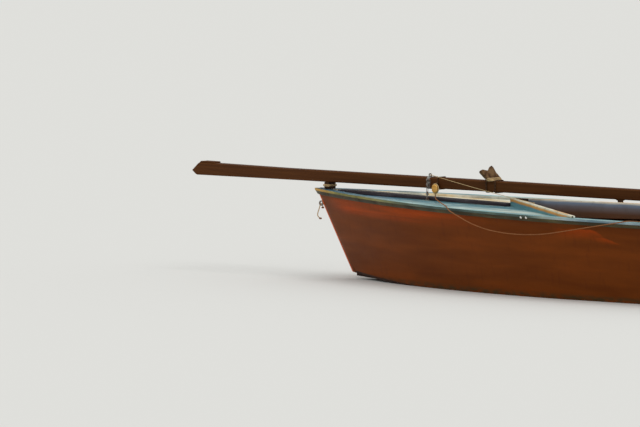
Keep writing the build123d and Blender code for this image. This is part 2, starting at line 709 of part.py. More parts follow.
with BuildPart() as socket_port:
    with BuildSketch(Plane.XY.offset(plate_top)):
        with Locations(Location((rowlock_x, rowlock_y), pad_turn)):
            SlotOverall(plate_length, plate_width)
    extrude(amount=-plate_thickness)
    with BuildSketch(Plane.XY.offset(plate_top)):
        with Locations((rowlock_x, rowlock_y)):
            Circle(sleeve_radius)
    extrude(amount=sleeve_foot - plate_top)
    with Locations((rowlock_x, rowlock_y, plate_top)):
        Hole(radius=shank_radius + pin_fit, depth=2 * (plate_top - sleeve_foot))
pieces["rowlock_sockets"] = socket_port

for holed, depth in ((cap_port, 2 * cap_thickness), (inwale_port, sleeve_depth + fit)):
    with holed:
        top = height_on(sheer, rowlock_x) + (cap_rise if holed is cap_port else 0)
        with Locations((rowlock_x, rowlock_y, top)):
            Hole(radius=sleeve_hole, depth=depth)

with BuildPart() as rowlock_port:
    with BuildSketch(Plane((rowlock_x, rowlock_y, horn_z))):
        with Locations((horn_radius, 0)):
            Circle(horn_wire)
    revolve(axis=Axis((rowlock_x, rowlock_y, horn_z), (0, 1, 0)), revolution_arc=180)
    with BuildSketch(Plane((rowlock_x, rowlock_y, horn_z))):
        with Locations((horn_radius, 0), (-horn_radius, 0)):
            Circle(horn_wire)
    extrude(amount=horn_rise)
    knob_z = horn_z + horn_rise
    with Locations((rowlock_x + horn_radius, rowlock_y, knob_z), (rowlock_x - horn_radius, rowlock_y, knob_z)):
        Sphere(horn_knob)
    shank_foot = sleeve_foot + shank_short
    for radius, low, high in (
        (shank_radius, shank_foot, horn_z - horn_radius),
        (collar_radius, plate_top + seat_gap, plate_top + seat_gap + collar_height),
    ):
        with BuildSketch(Plane((rowlock_x, rowlock_y, low))):
            Circle(radius)
        extrude(amount=high - low)
pieces["rowlock_port"] = rowlock_port

# Rudder, drawn on the centreline with x aft, square to the transom, and y up along it
rake = math.radians(transom_rake)
transom_face = Plane(
    origin=(transom_x(0), 0, 0), x_dir=(-math.cos(rake), 0, -math.sin(rake)), z_dir=(0, 1, 0)
)
blade_front = hinge_out - blade_gap
pocket_back = hinge_out + boss_radius + pocket_gap
gudgeon_ups = (low_gudgeon_up, high_gudgeon_up)
with BuildPart() as rudder_blade:
    with BuildSketch(transom_face):
        with BuildLine():
            FilletPolyline(
                (blade_front, blade_top), (blade_neck, blade_top), (blade_neck, neck_foot),
                (blade_shoulder, shoulder_up), (blade_back, back_up), (heel_back, heel_up), (toe_back, toe_up),
                (blade_front, blade_foot), radius=(4, 60, 60, 80, 120, 90), close=False,
            )
            Line((blade_front, blade_foot), (blade_front, blade_top))
        make_face()
    extrude(amount=blade_thickness / 2, both=True)
    with BuildSketch(transom_face):
        for up in gudgeon_ups:
            with Locations((blade_front, up + pintle_boss_height / 2)):
                pocket_tall = boss_height + pintle_boss_height + 2 * (seat_gap + pin_spare)
                Rectangle(2 * (pocket_back - blade_front), pocket_tall)
    extrude(amount=blade_thickness, both=True, mode=Mode.SUBTRACT)
pieces["rudder_blade"] = rudder_blade

with BuildPart() as rudder_cheeks:
    with BuildSketch(transom_face.offset(blade_thickness / 2)):
        with BuildLine():
            FilletPolyline(
                (cheek_front, cheek_foot), (cheek_back, cheek_foot), (cheek_back, cheek_head),
                (cheek_front, cheek_head), close=True, radius=cheek_round,
            )
        make_face()
    extrude(amount=cheek_thickness)
    mirror(about=Plane.XZ)
pieces["rudder_cheeks"] = rudder_cheeks


def raked_plane(up):
    """A plane square to the rudder's hinge, at this height up the transom, with its origin on the hinge."""
    origin = transom_face.from_local_coords((hinge_out, up, 0))
    along, out = math.cos(rake), math.sin(rake)
    return Plane(origin=origin, x_dir=(-along, 0, -out), z_dir=(-out, 0, along))


with BuildPart() as rudder_pintles:
    for up in gudgeon_ups:
        boss_low = up + boss_height / 2 + seat_gap
        with BuildSketch(raked_plane(boss_low)):
            Circle(boss_radius)
            with Locations((strap_reach / 2, blade_thickness / 2 + strap_thickness / 2)):
                Rectangle(strap_reach, strap_thickness)
            with Locations((strap_reach / 2, -blade_thickness / 2 - strap_thickness / 2)):
                Rectangle(strap_reach, strap_thickness)
            with Locations((strap_thickness / 2, 0)):
                Rectangle(2 * strap_thickness, blade_thickness + 2 * strap_thickness)
        extrude(amount=pintle_boss_height)
        with BuildSketch(raked_plane(boss_low)):
            Circle(pintle_radius)
        extrude(amount=-boss_height - pin_spare)
pieces["rudder_pintles"] = rudder_pintles

with BuildPart() as rudder_gudgeons:
    for up in gudgeon_ups:
        with BuildSketch(raked_plane(up - boss_height / 2)):
            Circle(boss_radius)
            with Locations((-hinge_out / 2 + fit / 2, 0)):
                Rectangle(hinge_out - fit, boss_web)
            with Locations((-hinge_out + fit + foot_thickness / 2, 0)):
                Rectangle(foot_thickness, foot_plate)
            Circle(pintle_radius + pin_fit, mode=Mode.SUBTRACT)
        extrude(amount=boss_height)
pieces["rudder_gudgeons"] = rudder_gudgeons

# Eye plates: one through the stem and two on the transom
nose_face_x = stem_x(eye_height) - nose_cut
eye_x = nose_face_x + eye_out
with BuildPart() as bow_eye:
    with BuildSketch(Plane.XZ.offset(-eye_thickness / 2)):
        with Locations((eye_x, eye_height)):
            Circle(eye_rim)
            Circle(eye_hole, mode=Mode.SUBTRACT)
    extrude(amount=eye_thickness)
    with BuildSketch(Plane.YZ.offset(nose_face_x - eye_rod_reach)):
        with Locations((0, eye_height)):
            Circle(eye_rod)
    extrude(amount=eye_x - (eye_hole + eye_rim) / 2 - nose_face_x + eye_rod_reach)
pieces["bow_eye"] = bow_eye
with stem:
    with BuildSketch(Plane.YZ.offset(nose_face_x - eye_rod_reach - fit)):
        with Locations((0, eye_height)):
            Circle(eye_rod + fit)
    extrude(amount=reach, mode=Mode.SUBTRACT)

with BuildPart() as stern_eyes:
    with BuildSketch(transom_face.offset(stern_eye_side - stern_eye_thickness / 2)):
        with Locations((stern_eye_out, stern_eye_up)):
            Circle(stern_eye_rim)
        with Locations((stern_eye_out / 2 + fit, stern_eye_up)):
            Rectangle(stern_eye_out - stern_plate, 1.5 * stern_eye_rim)
        with Locations((stern_eye_out, stern_eye_up)):
            Circle(stern_eye_hole, mode=Mode.SUBTRACT)
    extrude(amount=stern_eye_thickness)
    with BuildSketch(transom_face.offset(stern_eye_side - stern_plate_wide / 2)):
        with Locations((fit + stern_plate / 2, stern_eye_up)):
            Rectangle(stern_plate, stern_plate_tall)
    extrude(amount=stern_plate_wide)
    mirror(about=Plane.XZ)
pieces["stern_eyes"] = stern_eyes

# Hoop round the mast with an eye on top and a staple on its port face
hoop_x = at(hoop_aft)
hoop_half = mast_width / 2 + fit + hoop_thickness
hoop_top = mast_top + fit + hoop_thickness
screw_loop_height = mast_top - staple_drop
with BuildPart() as mast_hoop:
    with BuildSketch(Plane.YZ.offset(hoop_x - hoop_width / 2)):
        with Locations((0, mast_middle)):
            RectangleRounded(2 * hoop_half, mast_depth + 2 * (fit + hoop_thickness), mast_edge + hoop_thickness)
            RectangleRounded(mast_width + 2 * fit, mast_depth + 2 * fit, mast_edge, mode=Mode.SUBTRACT)
    extrude(amount=hoop_width)
    with BuildSketch(Plane.XZ.offset(-hoop_eye_side - hoop_eye_thickness / 2)):
        with Locations((hoop_x, hoop_top + (hoop_eye_rim + hoop_eye_hole) / 2)):
            Circle(hoop_eye_rim)
            Circle(hoop_eye_hole, mode=Mode.SUBTRACT)
    extrude(amount=hoop_eye_thickness)
    with BuildSketch(Plane.XZ.offset(-hoop_half)):
        with Locations((hoop_x + staple_radius, screw_loop_height)):
            Circle(staple_wire)
    revolve(axis=Axis((hoop_x, hoop_half, screw_loop_height), (0, 0, 1)), revolution_arc=180)
pieces["mast_hoop"] = mast_hoop

# Deck eye under the hoop's staple, and the bottlescrew between the two
screw_y = hoop_half + staple_radius
eye_foot = height_on(sheer, hoop_x) + deck_plate_lift
eye_top = eye_foot + deck_plate
with BuildPart() as deck_eye:
    with BuildSketch(Plane.XY.offset(eye_foot)):
        with Locations((hoop_x, screw_y)):
            SlotOverall(deck_plate_length, deck_plate_width)
    extrude(amount=deck_plate)
    with BuildSketch(Plane.XY.offset(eye_top)):
        with Locations((hoop_x - staple_radius, screw_y)):
            Circle(staple_wire)
    revolve(axis=Axis((hoop_x, screw_y, eye_top), (0, 1, 0)), revolution_arc=180)
pieces["deck_eye"] = deck_eye

link_hang = link_radius - link_wire - staple_wire - seat_gap
upper_link = screw_loop_height - link_hang
lower_link = eye_top + staple_radius + link_hang
link_end = link_radius + link_wire - 1
with BuildPart() as bottlescrew:
    with Locations(
        Location((hoop_x, screw_y, upper_link), (0, 90, 0)), Location((hoop_x, screw_y, lower_link), (0, 90, 0))
    ):
        Torus(link_radius, link_wire)
    frame_low, frame_high = lower_link + link_end + rod_length, upper_link - link_end - rod_length
    for radius, low, high in (
        (rod_radius, lower_link + link_end, frame_low + nut_height + nut_reach),
        (rod_radius, frame_high - nut_height - nut_reach, upper_link - link_end),
        (nut_radius, frame_low, frame_low + nut_height),
        (nut_radius, frame_high - nut_height, frame_high),
    ):
        with BuildSketch(Plane((hoop_x, screw_y, low))):
            Circle(radius)
        extrude(amount=high - low)
    with BuildSketch(Plane((hoop_x, screw_y, frame_low))):
        with Locations((leg_side, 0), (-leg_side, 0)):
            Circle(leg_radius)
    extrude(amount=frame_high - frame_low)
pieces["bottlescrew"] = bottlescrew

# Wooden pulley block hung from the mast by a rope strop
block_x = at(hoop_aft + block_behind_hoop)
block_height = mast_top - block_drop
with BuildPart() as block_shell:
    with BuildSketch(Plane.XZ.offset(-block_side - block_thickness / 2)):
        with Locations((block_x, block_height)):
            SlotOverall(block_tall, block_length, rotation=90)
    extrude(amount=block_thickness)
    fillet(block_shell.edges(), radius=block_round)
    with Locations((block_x, block_side, block_height)):
        Box(2 * block_length, slot_width, slot_height, mode=Mode.SUBTRACT)
    with BuildSketch(Plane.XZ.offset(-block_side - block_thickness / 2 - 1)):
        with Locations((block_x, block_height)):
            Circle(block_pin)
    extrude(amount=block_thickness + 2)
pieces["block_shell"] = block_shell

with BuildPart() as block_sheave:
    with BuildSketch(Plane.YZ.offset(block_x)):
        with BuildLine():
            half, bore, rim = sheave_width / 2, block_height + block_pin + pin_fit, block_height + sheave_radius
            Polyline(
                (block_side - half, bore), (block_side - half, rim), (block_side, rim - sheave_groove),
                (block_side + half, rim), (block_side + half, bore), close=True,
            )
        make_face()
    revolve(axis=Axis((block_x, block_side, block_height), (0, 1, 0)))
pieces["block_sheave"] = block_sheave


def rope_ring(plane, points, radius):
    """A closed turn of rope through these corners of a plane, rounded at each corner."""
    with BuildPart() as ring:
        with BuildLine(plane) as path:
            FilletPolyline(*points, radius=radius, close=True)
        with BuildSketch(Plane(origin=path.wire() @ 0, z_dir=path.wire() % 0)):
            Circle(rope_radius)
        sweep(path=path.wire())
    return ring.part


def box_corners(half_width, low, high):
    """Corners of a loop centred on the centreline, in a plane across the boat."""
    return (-half_width, low), (half_width, low), (half_width, high), (-half_width, high)


rope_in = rope_radius + fit
rope_step = 2 * rope_radius + rope_clear
turn_corners = box_corners(mast_width / 2 + rope_in, mast_bottom - rope_in, mast_top + rope_in)
turn_round = mast_edge + rope_in

strop_turn = rope_ring(Plane.YZ.offset(block_x), turn_corners, turn_round)
ring_half, ring_tall = block_length / 2 + rope_in, block_tall / 2 + rope_in
ring_corners = [
    (block_x + side * ring_half, block_height + up * ring_tall) for side, up in ((-1, -1), (1, -1), (1, 1), (-1, 1))
]
block_ring = rope_ring(Plane.XZ.offset(-block_side), ring_corners, ring_half - fit)
with BuildPart() as block_strop:
    add(strop_turn)
    add(block_ring)
    seizing_in, seizing_foot = mast_width / 2 + rope_in, block_height + block_tall / 2 + fit
    with Locations((block_x, (seizing_in + block_side) / 2, seizing_foot + seizing_height / 2)):
        Box(seizing_length, block_side - seizing_in, seizing_height)
    with BuildSketch(Plane((block_x, block_side, block_height - ring_tall))):
        Circle(whipping_radius)
    extrude(amount=-whipping_length)
pieces["block_strop"] = block_strop

# Turns of rope wound round the bow chock under the mast
wind_half_length, wind_half_width = chock_length / 2 + rope_in, chock_width / 2 + rope_in
wind_corners = (
    (chock_x - wind_half_length, -wind_half_width), (chock_x + wind_half_length, -wind_half_width),
    (chock_x + wind_half_length, wind_half_width), (chock_x - wind_half_length, wind_half_width),
)
wind_middle = (chock_foot + mast_bottom) / 2
chock_turns = [
    rope_ring(Plane.XY.offset(wind_middle + side * rope_step / 2), wind_corners, chock_round + rope_in)
    for side in (-1, 1)
]

# Forked board lashed to the top of the mast, leaning forward and rolled to port
fork_foot = Plane(origin=(at(fork_aft), 0, mast_top)).rotated((0, fork_lean, 0)).rotated((-fork_roll, 0, 0))
with BuildPart() as fork_board:
    with BuildSketch(Plane(origin=fork_foot.origin, x_dir=fork_foot.y_dir, z_dir=fork_foot.x_dir)):
        with BuildLine():
            half, foot_half, ear_foot = fork_width / 2, fork_width / 2 - fork_foot_in, fork_height - fork_ear
            Polyline(
                (-foot_half, -fork_sunk), (foot_half, -fork_sunk), (half, ear_foot),
                (half - fork_tip, fork_height), (0, fork_height - fork_notch), (-half + fork_tip, fork_height),
                (-half, ear_foot), close=True,
            )
        make_face()
    extrude(amount=fork_thickness / 2, both=True)
    split(bisect_by=Plane.XY.offset(mast_top + seat_gap), keep=Keep.TOP)
pieces["fork_board"] = fork_board

fork_x = at(fork_aft)
fork_turns = [
    rope_ring(Plane.YZ.offset(fork_x + side * fork_turn_side + step * rope_step / 2), turn_corners, turn_round)
    for side in (-1, 1) for step in (-1, 1)
]
with BuildPart() as mast_lashings:
    for turn in chock_turns + fork_turns:
        add(turn)
pieces["mast_lashings"] = mast_lashings

# Wooden horn cleats on the capping: one to starboard forward, one to port by the rowlock
cleat_places = ((starboard_cleat_aft, -1), (port_cleat_aft, 1))


def cleat_at(aft, side):
    """A horn cleat standing on the capping, in line with it."""
    x = at(aft)
    y = side * (breadth(x, waist_height) - cleat_in)
    centre = fore_centre if x > widest_x else aft_centre
    turn = -side * math.degrees(math.asin((x - widest_x) / (half_at(waist_height) - centre)))
    foot = height_on(sheer, x) + cap_rise + seat_gap
    plane = Plane(Location((x, y, foot), (0, 0, turn)))
    with BuildPart() as cleat:
        with BuildSketch(Plane(origin=plane.origin, x_dir=plane.x_dir, z_dir=-plane.y_dir)):
            with BuildLine():
                half, neck, foot_half = cleat_length / 2, cleat_neck / 2, cleat_neck / 2 + cleat_foot
                tip_top = cleat_height - cleat_tip
                Polyline(
                    (-foot_half, 0), (foot_half, 0), (neck, cleat_throat), (half, cleat_under),
                    (half, tip_top), (0, cleat_height), (-half, tip_top), (-half, cleat_under),
                    (-neck, cleat_throat), close=True,
                )
            make_face()
        extrude(amount=cleat_width / 2, both=True)
    return cleat.part


with BuildPart() as cap_cleats:
    for aft, side in cleat_places:
        add(cleat_at(aft, side))
pieces["cap_cleats"] = cap_cleats


def corner_radii(points):
    """The largest arcs that the runs of a cord leave room for."""
    radii = []
    for before, corner, after in zip(points, points[1:], points[2:]):
        come, go = corner - before, after - corner
        turn = math.radians(come.get_angle(go))
        radii.append(0.45 * min(come.length, go.length) / math.tan(turn / 2))
    return radii


def cord_tube(name, points):
    """A cord's tube along straight runs joined by arcs, with its length printed."""
    places = [Vector(at(aft), side, height) for aft, side, height in points]
    radii = corner_radii(places)
    with BuildPart() as tube:
        with BuildLine() as path:
            FilletPolyline(*places, radius=radii)
        with BuildSketch(Plane(origin=path.wire() @ 0, z_dir=path.wire() % 0)):
            Circle(rope_radius)
        sweep(path=path.wire())
    print(name, "length", round(path.wire().length), "mm")
    return tube


# Slack line from the block over the port capping, hanging outside and back up to the port cleat
# Each point is distance aft of the stem head, distance to port and height
slack_points = (
    (1236, 72, 659.1), (1236, 72, 649), (1240, 75.7, 639.5), (1247, 82.2, 634), (1276, 109, 632), (1400, 224, 629),
    (1560, 372, 629), (1700, 501, 630), (1790, 584, 631), (1832, 620, 629), (1856, 636, 617), (1890, 650, 599),
    (1975, 662, 571), (2050, 668, 543), (2130, 672, 517), (2255, 676, 488), (2365, 679, 474), (2476, 682, 467),
    (2575, 685, 465), (2672, 688, 467), (2770, 690.5, 473), (2867, 694, 483), (2965, 699, 498), (3064, 705, 514),
    (3160, 711, 530), (3259, 717, 546), (3355, 720, 562), (3455, 721, 578), (3540, 720, 592), (3600, 714, 603.5),
    (3640, 703, 611), (3680, 685, 612), (3720, 668, 609.5), (3755.2, 657, 608.4),
)
pieces["slack_line"] = cord_tube("slack_line", slack_points)

# Short tail of rope hanging from the bow eye, ending in a knot
tail_points = (
    (43.7, -17, 505.9), (43.7, -15.7, 523.1), (43.7, 0, 540.1), (43.7, 15.7, 523.1),
    (42.7, 22, 500.9), (36.7, 36, 460.9), (43.7, 37, 439.9), (61.7, 29, 428.9),
)
pieces["bow_tail"] = cord_tube("bow_tail", tail_points)

# Port pieces are mirrored across the centreline: most pairs share a node, and the sides and rowlocks don't
pairs = (
    "chine_logs", "inwales", "risers", "strakes", "capping", "ribs", "foredeck", "carlins", "coaming",
    "rowlock_pads", "rowlock_sockets",
)
for name in pairs:
    with BuildPart() as pair:
        add(pieces[name].part)
        mirror(pieces[name].part, about=Plane.XZ)
    pieces[name] = pair

for name in ("side", "rowlock"):
    with BuildPart() as twin:
        mirror(pieces[name + "_port"].part, about=Plane.XZ)
    pieces[name + "_starboard"] = twin

for name, piece in pieces.items():
    piece.part.label = name
    export_step(piece.part, f"parts/{name}.step")
    print(name, round(piece.part.volume / 1e6, 3), "litres")
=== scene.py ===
# %% [markdown]
# # A wooden rowing boat with its mast lowered
#
# The boat comes from CAD as separate timbers, irons and ropes, each a mesh in metres with its place in
# its vertices. This lesson gives them their looks: rounded edges, paint, tar, rust and laid rope.
# The frame is loaded first.

import json
import math

import bmesh
import bpy
from mathutils import Matrix, Vector
from mathutils.bvhtree import BVHTree

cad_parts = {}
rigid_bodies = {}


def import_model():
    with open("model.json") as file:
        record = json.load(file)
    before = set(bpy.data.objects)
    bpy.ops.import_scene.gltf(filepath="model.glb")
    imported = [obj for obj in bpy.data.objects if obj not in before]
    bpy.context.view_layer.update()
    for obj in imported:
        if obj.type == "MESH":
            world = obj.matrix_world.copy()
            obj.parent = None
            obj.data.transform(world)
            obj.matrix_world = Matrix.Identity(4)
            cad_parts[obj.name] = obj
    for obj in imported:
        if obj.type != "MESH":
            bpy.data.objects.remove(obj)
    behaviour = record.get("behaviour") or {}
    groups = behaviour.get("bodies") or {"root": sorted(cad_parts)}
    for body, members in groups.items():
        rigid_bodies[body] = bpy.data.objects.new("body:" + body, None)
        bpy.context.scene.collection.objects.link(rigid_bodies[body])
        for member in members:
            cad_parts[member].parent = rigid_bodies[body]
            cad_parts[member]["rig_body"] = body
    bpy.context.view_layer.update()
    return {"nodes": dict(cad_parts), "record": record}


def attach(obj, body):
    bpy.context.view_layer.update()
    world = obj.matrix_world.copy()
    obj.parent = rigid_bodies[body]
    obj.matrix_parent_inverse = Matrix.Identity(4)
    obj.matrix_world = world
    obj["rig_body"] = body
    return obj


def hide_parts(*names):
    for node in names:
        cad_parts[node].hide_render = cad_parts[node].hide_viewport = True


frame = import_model()
scene = bpy.context.scene

# %% [markdown]
# ## The camera
#
# The photograph was taken from far off with a long lens, from the boat's port quarter and a little above
# the water. A long lens keeps the mast's edges almost parallel. The camera is aimed at a point of the stem
# that lies in the middle of the picture, so it needs no shift.

# %% Set the camera
hull_length = 5.2
view_turn = math.radians(42)
view_drop = math.radians(4)
view_distance = 120
pixels_per_metre = 135
frame_width = 640


def aft(distance):
    """The x of a place that lies this far aft of the stem head."""
    return hull_length / 2 - distance


aim = Vector((aft(0.03), 0, 0.462))
level = math.cos(view_drop)
look = Vector((math.sin(view_turn) * level, -math.cos(view_turn) * level, -math.sin(view_drop)))
camera_data = bpy.data.cameras.new("photo_camera")
camera = bpy.data.objects.new("photo_camera", camera_data)
scene.collection.objects.link(camera)
camera.location = aim - look * view_distance
camera.rotation_euler = look.to_track_quat("-Z", "Y").to_euler()
camera_data.sensor_width = 36
camera_data.lens = camera_data.sensor_width * pixels_per_metre * view_distance / frame_width
camera_data.clip_start = 1
camera_data.clip_end = 1000
scene.camera = camera
scene.view_settings.view_transform = "Standard"
print("lens", round(camera_data.lens), "mm")

# %% [markdown]
# ## Rope
#
# A laid rope is three strands twisted round each other. A plain tube looks like wire, and a bump map does
# not show in the outline, so each strand here is a real tube on a helix. The helix follows a smooth line:
# a NURBS spline whose control points are the rope's route. Closed turns use the same code.


# %% Make a smooth line through a route
def smooth_line(points, closed=False, fineness=16):
    """Points along the NURBS spline that has this route as its control points."""
    curve = bpy.data.curves.new("route", "CURVE")
    curve.dimensions = "3D"
    curve.resolution_u = fineness
    spline = curve.splines.new("NURBS")
    spline.points.add(len(points) - 1)
    for point, place in zip(spline.points, points):
        point.co = (*place, 1)
    spline.order_u = 3
    spline.use_endpoint_u = not closed
    spline.use_cyclic_u = closed
    carrier = bpy.data.objects.new("route", curve)
    scene.collection.objects.link(carrier)
    line = bpy.data.meshes.new_from_object(carrier)
    path = [vertex.co.copy() for vertex in line.vertices]
    bpy.data.objects.remove(carrier)
    bpy.data.meshes.remove(line)
    return path


def line_length(path):
    """The length of a line of points."""
    return sum((b - a).length for a, b in zip(path, path[1:]))


def even_steps(path, step):
    """The same line with its points at even steps."""
    total = line_length(path)
    count = max(2, round(total / step))
    stride, walked, target, out = total / count, 0, 0, []
    for a, b in zip(path, path[1:]):
        run = (b - a).length
        while run and target <= walked + run + 1e-9 and len(out) < count:
            out.append(a.lerp(b, (target - walked) / run))
            target += stride
        walked += run
    out.append(path[-1].copy())
    return out


# %% Lay a rope of three strands along a line
rope_radius = 0.004
strands = 3
strand_offset, strand_radius, point_spacing = 0.52, 0.5, 0.75  # shares of the rope's radius


def show(name, mesh):
    """An object in the scene for a mesh, shaded smooth."""
    for face in mesh.polygons:
        face.use_smooth = True
    piece = bpy.data.objects.new(name, mesh)
    scene.collection.objects.link(piece)
    return piece


def tubes(name, lines, radius, closed=False):
    """Round tubes in one mesh, one along each line of points."""
    curve = bpy.data.curves.new(name, "CURVE")
    curve.dimensions = "3D"
    curve.bevel_depth = radius
    curve.bevel_resolution = 1
    curve.use_fill_caps = not closed
    for line in lines:
        spline = curve.splines.new("POLY")
        spline.points.add(len(line) - 1)
        for point, place in zip(spline.points, line):
            point.co = (*place, 1)
        spline.use_cyclic_u = closed
    carrier = bpy.data.objects.new(name + "_line", curve)
    scene.collection.objects.link(carrier)
    mesh = bpy.data.meshes.new_from_object(carrier)
    bpy.data.objects.remove(carrier)
    mesh.name = name
    return show(name, mesh)


def laid_rope(name, path, closed=False, radius=rope_radius, lay=7.5):
    """A mesh of twisted strands along the line. The lay is the length of one twist, in rope radii."""
    if closed:
        path = path + [path[0].copy()]
    path = even_steps(path, radius * point_spacing)
    total = line_length(path)
    twists = max(1, round(total / (radius * lay)))
    tangents = [(b - a).normalized() for a, b in zip(path, path[1:])]
    tangents.append(tangents[0] if closed else tangents[-1])
    side = tangents[0].orthogonal().normalized()
    frames = []
    for here, ahead in zip([tangents[0]] + tangents, tangents):
        side = here.rotation_difference(ahead) @ side
        side = (side - ahead * side.dot(ahead)).normalized()
        frames.append((side, ahead.cross(side)))
    slip = frames[0][0].angle(frames[-1][0]) if closed else 0
    if closed and frames[0][0].cross(frames[-1][0]).dot(tangents[0]) < 0:
        slip = -slip
    last = len(path) - 1
    lines = []
    for strand in range(strands):
        line = []
        for number in range(last if closed else last + 1):
            share = number / last
            angle = 2 * math.pi * (twists * share + strand / strands) - slip * share
            across, up = frames[number]
            out = (across * math.cos(angle) + up * math.sin(angle)) * radius * strand_offset
            line.append(path[number] + out)
        lines.append(line)
    return tubes(name, lines, radius * strand_radius, closed)


def as_one(name, pieces):
    """Several pieces joined in one mesh."""
    shape = bmesh.new()
    for piece in pieces:
        shape.from_mesh(piece.data)
        bpy.data.objects.remove(piece)
    mesh = bpy.data.meshes.new(name)
    shape.to_mesh(mesh)
    shape.free()
    return show(name, mesh)


# %% Dress the boat with a new piece
dressed = []


def dress(piece, slot, *nodes, body="hull"):
    """A new piece rides on a body, stands for the CAD nodes it replaces, and waits for its finish."""
    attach(piece, body)
    if nodes:
        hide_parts(*nodes)
    dressed.append((piece, slot))


def overhand_knot(name, middle, size=0.0030, radius=rope_radius * 0.85):
    """A small tight knot: one closed loop that passes three times through itself."""
    points, depth = 60, 1.3
    loop = []
    for step in range(points):
        turn = 2 * math.pi * step / points
        loop.append(middle + size * Vector((
            math.sin(turn) + 2 * math.sin(2 * turn), math.cos(turn) - 2 * math.cos(2 * turn),
            -depth * math.sin(3 * turn),
        )))
    return laid_rope(name, loop, closed=True, radius=radius)


# %% [markdown]
# ## The slack line and the bow tail
#
# The thin line leaves the pulley block, crosses the port capping, hangs in a long curve outside the hull
# and comes back over the capping to the port cleat. A short tail hangs from the bow eye. Their routes
# repeat the CAD's points: distance aft of the stem head, distance to port and height.

# %% Hang the slack line
slack_route = (
    (1.236, 0.072, 0.6591), (1.236, 0.072, 0.649), (1.240, 0.0757, 0.6395), (1.247, 0.0822, 0.634),
    (1.276, 0.109, 0.632), (1.400, 0.224, 0.629), (1.560, 0.372, 0.629), (1.700, 0.501, 0.630),
    (1.790, 0.584, 0.631), (1.832, 0.620, 0.629), (1.856, 0.636, 0.617), (1.890, 0.650, 0.599),
    (1.975, 0.662, 0.571), (2.050, 0.668, 0.543), (2.130, 0.672, 0.517), (2.255, 0.676, 0.488),
    (2.365, 0.679, 0.474), (2.476, 0.682, 0.467), (2.575, 0.685, 0.465), (2.672, 0.688, 0.467),
    (2.770, 0.6905, 0.473), (2.867, 0.694, 0.483), (2.965, 0.699, 0.498), (3.064, 0.705, 0.514),
    (3.160, 0.711, 0.530), (3.259, 0.717, 0.546), (3.355, 0.720, 0.562), (3.455, 0.721, 0.578),
    (3.540, 0.720, 0.592), (3.600, 0.714, 0.6035), (3.640, 0.703, 0.611), (3.680, 0.685, 0.612),
    (3.720, 0.668, 0.6095), (3.7552, 0.657, 0.6084),
)


def in_frame(route):
    """A route of places aft of the stem head as points of the frame."""
    return [Vector((aft(distance), port, height)) for distance, port, height in route]


slack_path = smooth_line(in_frame(slack_route))
slack_line = laid_rope("slack_rope", slack_path)
dress(slack_line, "red_rope", "slack_line")
print("slack line", round(line_length(slack_path), 3), "m")

# %% Hang the bow tail
tail_route = (
    (0.0437, -0.017, 0.5059), (0.0437, -0.0157, 0.5231), (0.0437, 0, 0.5401), (0.0437, 0.0157, 0.5231),
    (0.0427, 0.022, 0.5009), (0.0367, 0.036, 0.4609), (0.0437, 0.037, 0.4399), (0.0617, 0.029, 0.4289),
)
tail_path = smooth_line(in_frame(tail_route))
bow_tail = laid_rope("bow_tail_rope", tail_path)
tail_knots = as_one("tail_knots", [
    overhand_knot("low_knot", tail_path[-1]), overhand_knot("stopper_knot", tail_path[0]),
])
dress(bow_tail, "pale_rope", "bow_tail")
dress(tail_knots, "red_rope")
print("bow tail", round(line_length(tail_path), 3), "m")

# %% [markdown]
# ## Turns of rope round timber
#
# A turn round a squared timber lies flat on its faces and bends only at its corners. Its closed route has a
# point each side of every corner, so the spline bends there and nowhere else. Rings round the block and the
# whippings of thin twine follow ovals. These turns are pulled tight, so they are not free cords.


# %% Routes for turns, ovals and coils
def turn_route(corners, bend):
    """A closed route round these corners that starts to bend half this far from each."""
    route = []
    for before, corner, after in zip([corners[-1]] + corners, corners, corners[1:] + [corners[0]]):
        route += [
            corner + (before - corner).normalized() * bend, corner, corner + (after - corner).normalized() * bend
        ]
    return route


def coil_route(middle, across, up, along=Vector(), turns=1, pitch=0.0):
    """Turns of an oval whose half sizes are two vectors, stacked along a third."""
    points, spline_shrink = 12, 0.966
    steps = round(turns * points)
    route = []
    for step in range(steps if turns == 1 else steps + 1):
        angle = 2 * math.pi * step / points
        place = (across * math.cos(angle) + up * math.sin(angle)) / spline_shrink
        route.append(middle + place + along * pitch * (step / points - turns / 2))
    return route


def mast_turn(x):
    """Corners of a turn round the mast at one station."""
    side, low, high = mast_half + rope_in, mast_low - rope_in, mast_high + rope_in
    return [Vector((x, y, z)) for y, z in ((-side, low), (side, low), (side, high), (-side, high))]


def flat_turn(middle, half_length, half_width):
    """Corners of a level turn."""
    ways = ((-1, -1), (1, -1), (1, 1), (-1, 1))
    return [middle + east * a * half_length + port * b * half_width for a, b in ways]


east, port, up = Vector((1, 0, 0)), Vector((0, 1, 0)), Vector((0, 0, 1))
mast_half, mast_low, mast_high = 0.0425, 0.703178, 0.783178
rope_in = rope_radius + 0.0004
rope_step = 2 * rope_radius + 0.0003
mast_bend, chock_bend, foot_bend = 0.033, 0.021, 0.014
twine = 0.0013


def turn_of_rope(name, corners, bend):
    """One closed turn of laid rope round these corners."""
    return laid_rope(name, smooth_line(turn_route(corners, bend), closed=True), closed=True)


def twine_coil(name, middle, across, up, along, turns):
    """A whipping of thin twine round a rope."""
    route = coil_route(middle, across, up, along, turns=turns, pitch=2 * twine)
    return tubes(name, [smooth_line(route, fineness=4)], twine)


